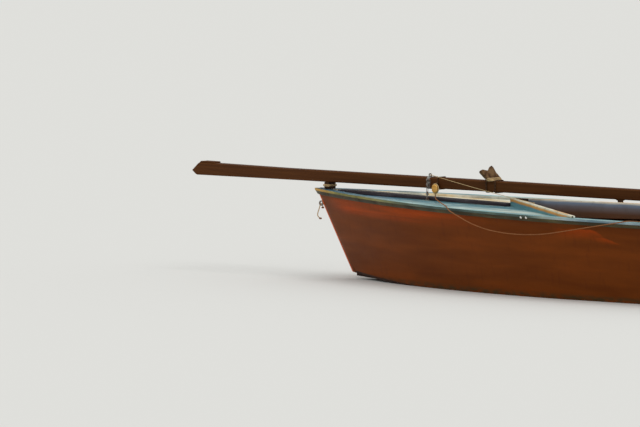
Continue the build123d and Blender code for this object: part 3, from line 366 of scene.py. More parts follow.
# %% Strop of the pulley block
block_middle = Vector((aft(1.236), 0.072, 0.705178))
ring_half_length, ring_half_height = 0.0304, 0.0354
strop_turn = turn_of_rope("strop_turn", mast_turn(block_middle.x), mast_bend)
ring_route = coil_route(block_middle, east * ring_half_length, up * ring_half_height)
block_ring = laid_rope("block_ring", smooth_line(ring_route, closed=True), closed=True)
seizing_middle = Vector((block_middle.x, 0.0595, 0.7436))
seizing = twine_coil("seizing", seizing_middle, east * 0.0062, up * 0.0058, port, turns=8)
strop = as_one("laid_strop", [strop_turn, seizing])
dress(strop, "dark_rope", "block_strop")
dress(block_ring, "pale_rope")
whipping_middle = Vector((block_middle.x, block_middle.y, 0.6645))
whipping = twine_coil("line_whipping", whipping_middle, east * 0.0048, port * 0.0048, up, turns=4)
dress(whipping, "pale_rope")
print("strop", len(strop.data.polygons), "faces")

# %% Lashings of the bow chock and of the fork
chock_middle = Vector((aft(0.130), 0, 0.677928))
chock_half_length, chock_half_width = 0.023 + rope_in, 0.041 + rope_in
knot_size = 0.0026
pale_parts = []
for number, side in enumerate((-1, 1)):
    corners = flat_turn(chock_middle + up * side * rope_step / 2, chock_half_length, chock_half_width)
    pale_parts.append(turn_of_rope(f"chock_turn_{number}", corners, chock_bend))
pale_parts.append(overhand_knot("chock_knot", chock_middle + Vector((0.012, 0.049, 0.002)), knot_size))

fork_x, fork_turn_side = aft(1.755), 0.043
fork_parts = []
for number, offset in enumerate((-fork_turn_side, fork_turn_side)):
    for side in (-1, 1):
        corners = mast_turn(fork_x + offset + side * rope_step / 2)
        fork_parts.append(turn_of_rope(f"fork_turn_{number}_{side}", corners, mast_bend))

foot_half_length, foot_half_width, foot_turns = 0.0215, 0.0615, 3
fork_lean_fore, fork_lean_port = math.tan(math.radians(29)), math.tan(math.radians(17))
for number in range(foot_turns):
    rise = rope_radius + number * rope_step
    middle = Vector((fork_x + rise * fork_lean_fore, rise * fork_lean_port, mast_high + rise))
    corners = flat_turn(middle, foot_half_length, foot_half_width)
    pale_parts.append(turn_of_rope(f"foot_turn_{number}", corners, foot_bend))
pale_parts.append(overhand_knot("foot_knot", Vector((fork_x - 0.022, 0.050, mast_high + 0.006)), knot_size))
dress(as_one("chock_lashing", pale_parts), "pale_rope", "mast_lashings")
dress(as_one("fork_lashing", fork_parts), "dark_rope")

# %% Turns of the slack line on the port cleat
cleat_turn = math.radians(3.4)
cleat_foot = Vector((aft(3.780), 0.6525, 0.6017))
cleat_along = Vector((math.cos(cleat_turn), math.sin(cleat_turn), 0))
cleat_across = up.cross(cleat_along)


def on_cleat(*points):
    """Places on the cleat from millimetres along it, across it and up."""
    return [cleat_foot + (cleat_along * a + cleat_across * b + up * c) / 1000 for a, b, c in points]


eight = on_cleat(
    (22, 15, 13), (10, 15, 36), (0, 0, 50), (-10, -15, 36), (-22, -15, 13), (-34, 0, 12), (-22, 15, 13),
    (-10, 15, 38), (0, 0, 62), (10, -15, 38), (22, -15, 13), (34, 0, 12),
)
foot = on_cleat((29, 15, 5), (-29, 15, 5), (-29, -15, 5), (29, -15, 5))
cleat_rope = as_one("cleat_turns", [
    laid_rope("figure_eight", smooth_line(eight, closed=True), closed=True),
    turn_of_rope("foot_turn", foot, foot_bend),
])
dress(cleat_rope, "pale_rope")

# %% The taut line from the hoop to the coaming
line_radius, line_sag, hitch_rise = 0.0021, 0.030, 0.006
clear_of_boat = 2


def surface_of(*node_names):
    """The faces of some CAD nodes, so that small pieces can be seated on them."""
    shape = bmesh.new()
    for node_name in node_names:
        shape.from_mesh(frame["nodes"][node_name].data)
    tree = BVHTree.FromBMesh(shape)
    shape.free()
    return tree


def seat_down(tree, x, y):
    """The place and the facing of the first face under a point high above it."""
    place, facing, _, _ = tree.ray_cast(Vector((x, y, clear_of_boat)), -up)
    return place, facing


coaming_faces = surface_of("coaming")
line_start = Vector((aft(1.1625), 0.026, 0.7993))
line_end = seat_down(coaming_faces, aft(2.352), 0.245)[0] + up * hitch_rise
line_route = [
    line_start.lerp(line_end, share) - up * line_sag * share * (1 - share)
    for share in (0, 0.06, 0.2, 0.4, 0.6, 0.8, 0.94, 1)
]
line_parts = [laid_rope("long_line", smooth_line(line_route, fineness=40), radius=line_radius)]
loop = coil_route(Vector((aft(1.1567), 0.026, 0.7993)), east * 0.0058, port * 0.0066)
line_parts.append(laid_rope("eye_loop", smooth_line(loop, closed=True), closed=True, radius=line_radius))
line_parts.append(overhand_knot("line_hitch", line_end, 0.0018, line_radius))
dress(as_one("taut_line", line_parts), "pale_rope")
print("taut line", round(line_length(line_route), 3), "m")

# %% [markdown]
# ## Two pieces of wood with broken or sawn shapes
#
# The fork that holds the mast when it is carried is an old board with a worn notch: its outline is drawn in
# the board's own plane, pushed out to its thickness and sawn off level where it stands on the mast. The small
# block on the mast's heel is sawn off along the heel's bevel.


# %% Saw a shape along a plane
def saw(shape, place, facing):
    """Saws off what lies beyond a plane and closes the cut."""
    everything = shape.verts[:] + shape.edges[:] + shape.faces[:]
    cut = bmesh.ops.bisect_plane(shape, geom=everything, plane_co=place, plane_no=facing, clear_outer=True)
    edges = [part for part in cut["geom_cut"] if isinstance(part, bmesh.types.BMEdge)]
    bmesh.ops.holes_fill(shape, edges=edges)


def bevel_sharp(shape, width):
    """Rounds every edge that bends more than 30 degrees."""
    sharp = [e for e in shape.edges if len(e.link_faces) == 2 and e.calc_face_angle(0) > math.radians(30)]
    bmesh.ops.bevel(
        shape, geom=sharp, offset=width, affect="EDGES", segments=2, profile=0.5, material=-1,
        clamp_overlap=True,
    )


def welded(node_name):
    """A CAD node's shape with its doubled points merged and its flat triangles joined in whole faces."""
    shape = bmesh.new()
    shape.from_mesh(frame["nodes"][node_name].data)
    bmesh.ops.remove_doubles(shape, verts=shape.verts, dist=0.00002)
    bmesh.ops.dissolve_limit(shape, angle_limit=math.radians(0.5), verts=shape.verts, edges=shape.edges)
    return shape


def show_wood(name, shape):
    """An object for a shape, smooth over its narrow bevels."""
    mesh = bpy.data.meshes.new(name)
    shape.to_mesh(mesh)
    shape.free()
    piece = show(name, mesh)
    mesh.set_sharp_from_angle(angle=math.radians(40))
    print(name, len(mesh.polygons), "faces")
    return piece


# %% Shape the fork
fork_across = Vector((0.0877, 0.9870, -0.1345))
fork_along = Vector((0.4757, 0.0771, 0.8762))
fork_out = fork_across.cross(fork_along).normalized()
fork_foot = Vector((fork_x, 0, mast_high))
fork_thickness, fork_clearance = 0.026, 0.0003
fork_outline = (
    (-60, -40), (-58, 0), (-48, 30), (-36, 58), (-32, 100), (-22, 116), (-10, 110), (9, 93), (30, 85),
    (50, 92), (74, 103), (93, 101), (97, 90), (80, 52), (60, 12), (54, -40),
)
shape = bmesh.new()
for across, along in fork_outline:
    shape.verts.new(
        fork_foot + (fork_across * across + fork_along * along) / 1000 - fork_out * fork_thickness / 2
    )
board = bmesh.ops.contextual_create(shape, geom=shape.verts[:])["faces"]
grown = bmesh.ops.extrude_face_region(shape, geom=board)["geom"]
moved = [part for part in grown if isinstance(part, bmesh.types.BMVert)]
bmesh.ops.translate(shape, vec=fork_out * fork_thickness, verts=moved)
saw(shape, Vector((0, 0, mast_high + fork_clearance)), -up)
bmesh.ops.recalc_face_normals(shape, faces=shape.faces[:])
bevel_sharp(shape, 0.003)
dress(show_wood("worn_fork", shape), "fork_paint", "fork_board")

# %% Saw the heel's block along the bevel
bevel_place, bevel_facing = Vector((3.742, 0, 0.7932)), Vector((0.658, 0, 0.753))
shape = welded("heel_chock")
saw(shape, bevel_place, bevel_facing)
bevel_sharp(shape, 0.002)
dress(show_wood("sawn_heel_chock", shape), "mast_wood", "heel_chock")

# %% [markdown]
# ## Bolts, screws and nails
#
# Old timber shows its fastenings. Each head is a half-sunk flattened ball that stands square to the face
# under it. The places come from rays that are sent at the timbers, so no head floats or sinks.


# %% Seat heads on the timbers
def heads(name, slot, rows, radius, rise=0.4, body="hull", upward=-1):
    """Flattened balls in one mesh, one on each place that a ray found, square to its facing."""
    shape = bmesh.new()
    found = [row for row in rows if row[0] and row[1].z > upward]
    for place, facing in found:
        ball = bmesh.ops.create_uvsphere(shape, u_segments=10, v_segments=6, radius=radius)["verts"]
        bmesh.ops.scale(shape, vec=(1, 1, rise), verts=ball)
        turn = facing.to_track_quat("Z", "Y").to_matrix().to_4x4()
        bmesh.ops.transform(shape, matrix=Matrix.Translation(place) @ turn, verts=ball)
    mesh = bpy.data.meshes.new(name)
    shape.to_mesh(mesh)
    shape.free()
    dress(show(name, mesh), slot, body=body)
    print(name, len(found))


def seat_side(tree, x, z, side):
    """The place and the facing of the first face that a ray from outside meets, to port or starboard."""
    place, facing, _, _ = tree.ray_cast(Vector((x, side * clear_of_boat, z)), Vector((0, -side, 0)))
    return place, facing


def sheer_at(x):
    """The height of the planks' top edge, on a parabola that follows the CAD's side view."""
    from_stern = x + hull_length / 2
    stern_height, slope, curve = 0.581, 0.000785, 0.00185
    return stern_height + slope * from_stern + curve * from_stern ** 2


def stations(first, step, count):
    """The x and the side of places on both sides at even steps aft of the stem head."""
    return [(aft(first + step * number), side) for number in range(count) for side in sides]


sides = (-1, 1)
rail_faces = surface_of("strakes", "capping")
deck_faces = surface_of("king_plank", "foredeck")
seat_faces = surface_of("mast_thwart", "rowing_thwart", "stern_seat", "thwart_knees", "mast_step")
board_faces = surface_of("floor_boards")
strap_faces = surface_of("rudder_pintles")

bolt_height = 0.5925
bolts = [seat_side(rail_faces, aft(place), bolt_height, 1) for place in (2.628, 2.680)]
heads("gunwale_bolts", "galvanised_steel", bolts, 0.010, rise=0.7)

rivet_drop = 0.012
rivets = [seat_side(rail_faces, x, sheer_at(x) - rivet_drop, side) for x, side in stations(0.22, 0.235, 21)]
heads("strake_rivets", "dark_rope", rivets, 0.0045)

cap_edge_height, screw_inset = 0.009, 0.038
screws = []
for x, side in stations(0.34, 0.26, 19):
    edge, _ = seat_side(rail_faces, x, sheer_at(x) + cap_edge_height, side)
    if edge:
        screws.append(seat_down(rail_faces, edge.x, edge.y - side * screw_inset))
heads("capping_screws", "galvanised_steel", screws, 0.004)

plank_inset = 0.036
screws = [seat_down(deck_faces, x, side * plank_inset) for x, side in stations(0.34, 0.215, 7)]
heads("king_plank_screws", "galvanised_steel", screws, 0.004)

thwart_rows = [(station, (0.47, 0.53)) for station in (2.58, 2.70, 3.545, 3.66)]
seat_rows = [(station, (0.40,)) for station in (4.70, 4.90)]
screws = [
    seat_down(seat_faces, aft(station), side * out)
    for station, outs in thwart_rows + seat_rows for side in sides for out in outs
]
heads("seat_screws", "galvanised_steel", screws, 0.0045, upward=0.9)

board_pitch, nail_side = 0.128, 0.034
nails = [
    seat_down(board_faces, aft(station), board * board_pitch + side * nail_side)
    for station in (3.310, 3.745, 4.180, 4.615) for board in range(-3, 4) for side in sides
]
heads("board_nails", "galvanised_steel", nails, 0.003, upward=0.9)

hinge_aft, rake_aft, strap_aft, strap_drop = 2.4974, 0.1736, 0.9848, 0.17
strap_heights, rivet_outs = (0.148, 0.458), (0.060, 0.085, 0.110)
rivets = []
for height in strap_heights:
    for out in rivet_outs:
        centre = Vector((-hinge_aft - rake_aft * height - out * strap_aft, 0, height - out * strap_drop))
        rivets += [strap_faces.ray_cast(centre + port * side, port * -side)[:2] for side in sides]
heads("strap_rivets", "galvanised_steel", rivets, 0.004, body="rudder")

# %% [markdown]
# ## Finishes
#
# Every finish is a small node tree on object coordinates, so its grain lies in the timber and stays with it.
# Timber grain is noise stretched along the piece. Worn paint is a few coats and bare wood, with a stretched
# noise choosing between them. Colours are written as the eye reads them, in three parts from 0 to 255, and
# ramp and mix turn them linear. A pair of numbers for a span or a zone is where it starts and where it is full.


# %% Helpers for finishes
def colour(red, green, blue):
    """A colour written as it is seen, as linear values for a shader."""
    def linear(part):
        part = part / 255
        return part / 12.92 if part <= 0.04045 else ((part + 0.055) / 1.055) ** 2.4
    return (linear(red), linear(green), linear(blue), 1)


class Finish:
    """A material and short calls for the nodes that these finishes use."""

    def __init__(self, name, roughness=0.6, metallic=0.0, coat=0.0, gloss=0.2):
        self.material = bpy.data.materials.new(name)
        self.material.use_nodes = True
        self.tree = self.material.node_tree
        self.shader = self.tree.nodes["Principled BSDF"]
        self.shader.inputs["Roughness"].default_value = roughness
        self.shader.inputs["Metallic"].default_value = metallic
        self.shader.inputs["Coat Weight"].default_value = coat
        self.shader.inputs["Specular IOR Level"].default_value = gloss
        self.place = self.tree.nodes.new("ShaderNodeTexCoord").outputs["Object"]

    def link(self, source, target):
        self.tree.links.new(source, target)

    def noise(self, stretch, detail=4.0, roughness=0.55, distortion=0.0):
        """Noise whose grain is this many per metre along x, y and z."""
        mapping = self.tree.nodes.new("ShaderNodeMapping")
        mapping.inputs["Scale"].default_value = stretch
        self.link(self.place, mapping.inputs["Vector"])
        node = self.tree.nodes.new("ShaderNodeTexNoise")
        node.inputs["Scale"].default_value = 1
        node.inputs["Detail"].default_value = detail
        node.inputs["Roughness"].default_value = roughness
        node.inputs["Distortion"].default_value = distortion
        self.link(mapping.outputs["Vector"], node.inputs["Vector"])
        return node.outputs["Fac"]

    def ramp(self, value, *stops):
        """Colours at positions from 0 to 1, each in three parts from 0 to 255."""
        node = self.tree.nodes.new("ShaderNodeValToRGB")
        elements = node.color_ramp.elements
        while len(elements) < len(stops):
            elements.new(0.5)
        for element, (position, shade) in zip(elements, stops):
            element.position = position
            element.color = colour(*shade)
        self.link(value, node.inputs["Fac"])
        return node.outputs["Color"]

    def span(self, value, low, high, out_low=0.0, out_high=1.0):
        """The value's stretch from low to high, spread over a new one and clamped."""
        node = self.tree.nodes.new("ShaderNodeMapRange")
        for socket, number in zip(("From Min", "From Max", "To Min", "To Max"), (low, high, out_low, out_high)):
            node.inputs[socket].default_value = number
        self.link(value, node.inputs["Value"])
        return node.outputs["Result"]

    def mix(self, share, first, second):
        """Two colours mixed by a share. Each colour is a socket or three parts from 0 to 255."""
        node = self.tree.nodes.new("ShaderNodeMix")
        node.data_type = "RGBA"
        for number, value in ((0, share), (6, first), (7, second)):
            if isinstance(value, tuple):
                node.inputs[number].default_value = colour(*value)
            else:
                self.link(value, node.inputs[number])
        return node.outputs[2]

    def maths(self, operation, first, second):
        """One sum of two values, each a number or a socket."""
        node = self.tree.nodes.new("ShaderNodeMath")
        node.operation = operation
        for number, value in enumerate((first, second)):
            if isinstance(value, (int, float)):
                node.inputs[number].default_value = value
            else:
                self.link(value, node.inputs[number])
        return node.outputs[0]

    def parts(self, vector):
        """The x, y and z of a vector."""
        node = self.tree.nodes.new("ShaderNodeSeparateXYZ")
        self.link(vector, node.inputs[0])
        return node.outputs

    def facing(self):
        """The x, y and z of the way that the surface faces."""
        return self.parts(self.tree.nodes.new("ShaderNodeNewGeometry").outputs["Normal"])

    def product(self, *values):
        """All the values multiplied."""
        total = values[0]
        for value in values[1:]:
            total = self.maths("MULTIPLY", total, value)
        return total

    def zone(self, value, *pairs):
        """1 where the value is inside every pair's end, fading out towards the pair's start."""
        return self.product(*[self.span(value, *pair) for pair in pairs])

    def arris(self):
        """1 on the rounded edge of a squared timber and 0 on its faces, from the way that it faces."""
        ways = [self.maths("ABSOLUTE", way, 0) for way in self.facing()[:3]]
        widest = self.maths("MAXIMUM", self.maths("MAXIMUM", ways[0], ways[1]), ways[2])
        return self.span(widest, 0.985, 0.88)

    def finish(self, shade, rough=None, height=None, distance=0.001, strength=0.6):
        """Joins the colour, the roughness and the bump to the shader."""
        self.link(shade, self.shader.inputs["Base Color"])
        if rough is not None:
            self.link(rough, self.shader.inputs["Roughness"])
        if height is not None:
            node = self.tree.nodes.new("ShaderNodeBump")
            node.inputs["Distance"].default_value = distance
            node.inputs["Strength"].default_value = strength
            self.link(height, node.inputs["Height"])
            self.link(node.outputs["Normal"], self.shader.inputs["Normal"])
        return self.material


# %% [markdown]
# ## Timber, tar and paint
#
# The sides are red-brown outside, where they are tarred, with an orange-red painted reflection along the bow,
# and blue-grey inside, where old paint and dirt lie, darkening to brown lower down as painted shade. One solid
# carries both, so the finish asks which way a face looks: towards the centreline is inside.


# %% Tar on the hull
def painted_reflection(tar):
    """Painted reflected light, orange-red on the tar: along the bow under the strake, and a lobe aft."""
    x, _, height = tar.parts(tar.place)[:3]
    streaks = tar.span(tar.noise((0.9, 0.9, 16), detail=4, distortion=0.3), 0.36, 0.62, 0.25, 1.0)
    bow_length, bow_height = ((0.35, 1.35), (2.45, 2.15)), ((0.46, 0.575), (0.606, 0.594))
    bow = tar.product(tar.zone(x, *bow_length), tar.zone(height, *bow_height), streaks)
    lobe_slope, lobe_rise, lobe_top = 0.4, 0.802, 0.534
    edge = tar.maths("ADD", tar.maths("MULTIPLY", x, lobe_slope), lobe_rise)
    ragged = tar.span(tar.noise((5, 1, 11), detail=4), 0.3, 0.7, -0.014, 0.014)
    below = tar.maths("ADD", tar.maths("SUBTRACT", tar.maths("MINIMUM", edge, lobe_top), height), ragged)
    lobe_depth, lobe_length = ((-0.004, 0.008), (0.10, 0.015)), ((-0.3, -0.55), (-1.02, -0.92))
    lobe_foot = (0.425, 0.47)
    lobe = tar.product(tar.zone(below, *lobe_depth), tar.zone(x, *lobe_length), streaks)
    lobe = tar.product(lobe, tar.span(height, *lobe_foot))
    return tar.maths("MAXIMUM", bow, tar.maths("MULTIPLY", lobe, 0.7))


def inner_faces(tar):
    """1 on faces that look towards the centreline, or forward from the stern, and 0 on the outer ones."""
    x, y, _ = tar.parts(tar.place)[:3]
    ahead, sideways, _ = tar.facing()[:3]
    side = tar.maths("LESS_THAN", tar.maths("MULTIPLY", sideways, y), 0)
    side = tar.product(side, tar.maths("GREATER_THAN", ahead, -0.5))
    stern = tar.product(tar.maths("GREATER_THAN", ahead, 0.5), tar.maths("LESS_THAN", x, -2.0))
    return tar.maths("MAXIMUM", side, stern)


def tar_finish(name="hull_tar", nose=False):
    """Dark red-brown tar outside the planks with an orange-red painted reflection, and old blue-grey paint
    inside that darkens to brown downwards as painted shade.
    """
    tar = Finish(name, roughness=0.55, gloss=0.04)
    x, _, height = tar.parts(tar.place)[:3]
    streaks = tar.noise((1.2, 1.2, 9), detail=6, distortion=0.3)
    outside = tar.ramp(streaks, (0.30, (96, 46, 12)), (0.5, (108, 53, 14)), (0.72, (122, 59, 16)))
    # Orange-red painted reflection of light on the tar, along the bow and in a lobe aft.
    outside = tar.mix(tar.maths("MULTIPLY", painted_reflection(tar), 0.80), outside, (196, 74, 14))
    scum = tar.product(tar.span(height, 0.05, 0.02), tar.span(tar.noise((14, 14, 40), detail=5), 0.35, 0.6))
    outside = tar.mix(tar.maths("MULTIPLY", scum, 0.8), outside, (58, 54, 34))
    drips = tar.span(tar.noise((30, 30, 1.2), detail=4), 0.56, 0.76, 0.0, 0.22)
    outside = tar.mix(drips, outside, (62, 30, 16))
    grime = tar.noise((1.6, 5, 8), detail=6)
    # Inside: blue-grey paint at the top, darkening to brown lower down as painted shade.
    inside = tar.ramp(
        tar.span(height, 0.28, 0.60), (0.0, (104, 66, 44)), (0.45, (112, 82, 66)),
        (0.75, (122, 118, 126)), (1.0, (132, 148, 172)),
    )
    inside = tar.mix(tar.span(grime, 0.42, 0.75, 0.0, 0.35), inside, (104, 96, 92))
    inner = inner_faces(tar)
    shade = tar.mix(inner, outside, inside)
    if nose:
        stem_rake, stem_line, worn_edge = 0.589, 2.226, (0.034, 0.022)
        behind = tar.maths("ADD", tar.maths("SUBTRACT", tar.maths("MULTIPLY", height, stem_rake), x), stem_line)
        shade = tar.mix(tar.span(behind, *worn_edge), outside, (214, 92, 24))
    grain = tar.noise((3, 60, 60), detail=7, roughness=0.6)
    rough = tar.maths("ADD", tar.span(grime, 0.3, 0.8, 0.34, 0.5), tar.maths("MULTIPLY", inner, 0.3))
    return tar.finish(shade, rough, grain, distance=0.0010, strength=0.4)


# %% Bare and oiled timber
def timber_finish(name, dark, middle, light, roughness=0.6, stretch=(3, 55, 55), cracks=0.25, coat=0.0):
    """Timber with its grain along x, in three shades, with thin dark cracks."""
    timber = Finish(name, roughness=roughness, coat=coat, gloss=0.07)
    grain = timber.noise(stretch, detail=8, roughness=0.62, distortion=0.4)
    broad = timber.noise((stretch[0] * 0.4, stretch[1] * 0.12, stretch[2] * 0.12), detail=3)
    both = timber.maths("ADD", timber.maths("MULTIPLY", grain, 0.6), timber.maths("MULTIPLY", broad, 0.4))
    shade = timber.ramp(both, (0.34, dark), (0.5, middle), (0.66, light))
    split = timber.noise((stretch[0] * 0.5, stretch[1] * 1.6, stretch[2] * 1.6), detail=2)
    split = timber.span(split, 0.30, 0.36, 1.0, 0.0)
    shade = timber.mix(timber.maths("MULTIPLY", split, cracks), shade, (24, 15, 10))
    rubbed = timber.product(timber.arris(), timber.span(timber.noise((5, 30, 30)), 0.4, 0.62, 0.0, 0.7))
    shade = timber.mix(rubbed, shade, light)
    height = timber.maths("SUBTRACT", grain, timber.maths("MULTIPLY", split, 0.6))
    rough = timber.span(broad, 0.3, 0.7, roughness - 0.08, roughness + 0.12)
    return timber.finish(shade, rough, height, distance=0.0015, strength=0.6)


# %% Worn paint
def paint_finish(name, coats, wood, wear=0.62, roughness=0.5, stretch=(4, 22, 22), extra=None):
    """Old coats of paint in patches along the timber, worn through to wood on a share of the surface."""
    paint = Finish(name, roughness=roughness)
    patches = paint.noise((stretch[0] * 0.35, stretch[1] * 0.5, stretch[2] * 0.5), detail=5, distortion=0.8)
    step = 0.34 / max(1, len(coats) - 1)
    shade = paint.ramp(patches, *[(0.33 + number * step, coat) for number, coat in enumerate(coats)])
    if extra:
        shade = extra(paint, shade)
    worn = paint.noise(stretch, detail=9, roughness=0.68, distortion=0.5)
    worn = paint.span(worn, wear, wear + 0.03)
    shade = paint.mix(worn, shade, wood)
    dirt = paint.span(paint.noise((9, 9, 9), detail=6), 0.5, 0.8, 0.0, 0.4)
    shade = paint.mix(dirt, shade, (92, 82, 62))
    grain = paint.noise((stretch[0], stretch[1] * 3, stretch[2] * 3), detail=6)
    height = paint.maths("SUBTRACT", paint.maths("MULTIPLY", grain, 0.4), paint.maths("MULTIPLY", worn, 0.5))
    rough = paint.span(patches, 0.3, 0.7, roughness - 0.1, roughness + 0.15)
    return paint.finish(shade, rough, height, distance=0.0012, strength=0.6)


def rail_edge_and_painted_light(paint, shade):
    """The capping's outer edge goes from gold at the stem, a painted highlight, over olive and dull green to
    pale blue aft. Its inner edge is cream, and so is its top aft to starboard: painted sunlight. Its top is
    dark teal at the bow."""
    x, y, _ = paint.parts(paint.place)[:3]
    flat = paint.span(paint.facing()[2], 0.35, 0.75)
    outer = paint.maths("GREATER_THAN", paint.maths("MULTIPLY", paint.facing()[1], y), 0)
    patches = paint.noise((2.5, 9, 9), detail=5)
    # Gold on the outer edge at the stem: a painted highlight.
    gold = (196, 150, 66)
    olive = paint.ramp(patches, (0.34, (92, 92, 46)), (0.52, (134, 128, 66)), (0.68, (172, 158, 84)))
    dull = paint.ramp(patches, (0.34, (52, 66, 62)), (0.55, (78, 98, 92)), (0.72, (116, 132, 112)))
    pale = paint.ramp(patches, (0.36, (104, 132, 144)), (0.56, (170, 188, 192)), (0.7, (206, 210, 200)))
    # Cream: painted sunlight on the capping's inner edge and on its top aft to starboard.
    cream = paint.ramp(patches, (0.36, (178, 184, 176)), (0.50, (228, 226, 212)), (0.64, (238, 218, 176)))
    bow_top = paint.ramp(
        paint.noise((2, 14, 9), detail=5), (0.4, (36, 60, 72)), (0.52, (60, 96, 112)),
        (0.62, (120, 160, 170)),
    )
    outside = olive
    for pair, coat in (((2.25, 2.50), gold), ((1.9, 1.1), dull), ((-0.1, -0.5), pale)):
        outside = paint.mix(paint.span(x, *pair), outside, coat)
    edge = paint.mix(outer, cream, outside)
    sunlit_aft_starboard = paint.product(paint.span(y, 0.1, -0.1), paint.span(x, 0.9, 0.3))
    shade = paint.mix(sunlit_aft_starboard, shade, cream)
    shade = paint.mix(paint.span(x, 1.3, 2.1), shade, bow_top)
    return paint.mix(flat, edge, shade)


def edge_of_strake(paint, _):
    """The rubbing strake is dark olive-brown, nearly as dark as the tar."""
    return paint.ramp(
        paint.noise((3, 20, 20), detail=7), (0.36, (46, 40, 24)), (0.55, (64, 56, 32)),
        (0.72, (88, 82, 50)),
    )


def deck_bands_and_painted_light(paint, shade):
    """To port the deck is teal along its middle, a painted reflection of the sky, and navy there at the bow. To
    starboard it is cream with gold streaks of wear, brightened as painted sunlight. Outboard it is pale."""
    x, y, _ = paint.parts(paint.place)[:3]
    wander = paint.span(paint.noise((2.5, 6, 6), detail=4), 0.3, 0.7, -0.05, 0.05)
    across = paint.maths("ADD", y, wander)
    # Teal along the port middle: a painted reflection of the sky.
    teal = paint.ramp(
        paint.noise((3, 26, 26), detail=7), (0.36, (62, 108, 124)), (0.54, (96, 146, 156)),
        (0.66, (196, 206, 190)),
    )
    navy = paint.ramp(
        paint.noise((1.5, 22, 9), detail=5), (0.40, (44, 62, 84)), (0.52, (66, 98, 124)),
        (0.62, (146, 182, 200)),
    )
    # Cream-gold along the starboard middle: worn streaks brightened as painted sunlight.
    gold = paint.ramp(
        paint.noise((4, 30, 30), detail=7), (0.36, (168, 136, 84)), (0.46, (210, 184, 128)),
        (0.54, (230, 224, 200)),
    )
    navy_length, teal_width, gold_width = (1.4, 2.0), (0.42, 0.22), (-0.62, -0.38)
    teal = paint.mix(paint.span(x, *navy_length), teal, navy)
    port_reflection_band = paint.mix(paint.span(across, *teal_width), shade, teal)
    starboard_sunlit_band = paint.mix(paint.span(across, *gold_width), shade, gold)
    return paint.mix(paint.maths("GREATER_THAN", y, 0), starboard_sunlit_band, port_reflection_band)


def coaming_bands_and_painted_light(paint, shade):
    """Cream along its top as painted sunlight, worn to orange-gold below that and teal lower down. Inside it
    is cream at the top as painted sunlight, then blue-grey, darkening to brown lower down as painted shade.
    Its ends are near black, painted shade.
    """
    x, _, height = paint.parts(paint.place)[:3]
    top_slope, top_height = 0.0411, 0.6434
    top = paint.maths("ADD", paint.maths("MULTIPLY", x, top_slope), top_height)
    wander = paint.span(paint.noise((5, 5, 9), detail=5), 0.3, 0.7, -0.003, 0.003)
    drop = paint.maths("ADD", paint.maths("SUBTRACT", top, height), wander)
    cream, teal = (228, 222, 198), (86, 140, 150)
    # Outer face: cream along the top as painted sunlight, then orange-gold wear and teal paint.
    forward = paint.ramp(
        paint.span(drop, 0.0, 0.08), (0.0, cream), (0.10, cream), (0.18, (220, 158, 80)),
        (0.32, (204, 140, 66)), (0.42, teal), (0.85, (120, 164, 168)),
    )
    # Inner face: cream along the top as painted sunlight, then blue-grey paint darkening to brown as painted
    # shade.
    inside_light_and_shade = paint.ramp(
        paint.span(drop, 0.0, 0.12), (0.0, (236, 234, 220)), (0.10, (222, 220, 206)),
        (0.14, (142, 164, 190)), (0.36, (130, 126, 130)), (0.75, (116, 82, 60)),
    )
    shade = paint.mix(paint.maths("GREATER_THAN", paint.facing()[0], 0), inside_light_and_shade, forward)
    # End faces near black: painted shade.
    ends = paint.span(paint.maths("ABSOLUTE", paint.facing()[1], 0), 0.905, 0.94)
    shade = paint.mix(ends, shade, (38, 34, 30))
    # Top faces: cream as painted sunlight, with orange streaks of wear.
    flat = paint.span(paint.facing()[2], 0.3, 0.8)
    streak = paint.span(paint.noise((2.2, 5, 9), detail=5), 0.50, 0.58, 0.0, 0.8)
    return paint.mix(flat, shade, paint.mix(streak, cream, (212, 158, 86)))


# %% Iron and rope
def iron_finish():
    """Galvanised iron, dulled, with rust in patches."""
    iron = Finish("galvanised_iron", roughness=0.5, metallic=0.75, gloss=0.5)
    rust = iron.span(iron.noise((45, 45, 45), detail=8, roughness=0.7), 0.46, 0.6)
    mottle, fleck = iron.noise((70, 70, 70), detail=5), iron.noise((110, 110, 110), detail=6)
    zinc = iron.ramp(mottle, (0.35, (120, 122, 118)), (0.65, (168, 168, 160)))
    brown = iron.ramp(fleck, (0.35, (72, 38, 22)), (0.65, (128, 70, 36)))
    shade = iron.mix(rust, zinc, brown)
    iron.link(iron.span(rust, 0, 1, 0.8, 0.1), iron.shader.inputs["Metallic"])
    return iron.finish(shade, iron.span(rust, 0, 1, 0.42, 0.85), rust, distance=0.0006, strength=0.5)


def zinc_finish():
    """Bare bright zinc, a little mottled."""
    zinc = Finish("bright_zinc", roughness=0.45, gloss=0.5)
    mottle = zinc.noise((60, 60, 60), detail=4)
    return zinc.finish(zinc.ramp(mottle, (0.4, (214, 212, 202)), (0.6, (242, 240, 232))))


def rope_finish(name, dark, light):
    """Dry fibres: fine noise in two shades, dull all over."""
    rope = Finish(name, roughness=0.9)
    fibre = rope.noise((350, 350, 350), detail=4)
    soiled = rope.noise((14, 14, 14), detail=4)
    shade = rope.ramp(fibre, (0.35, dark), (0.6, light))
    shade = rope.mix(rope.span(soiled, 0.5, 0.75, 0.0, 0.4), shade, dark)
    return rope.finish(shade, None, fibre, distance=0.0004, strength=0.7)


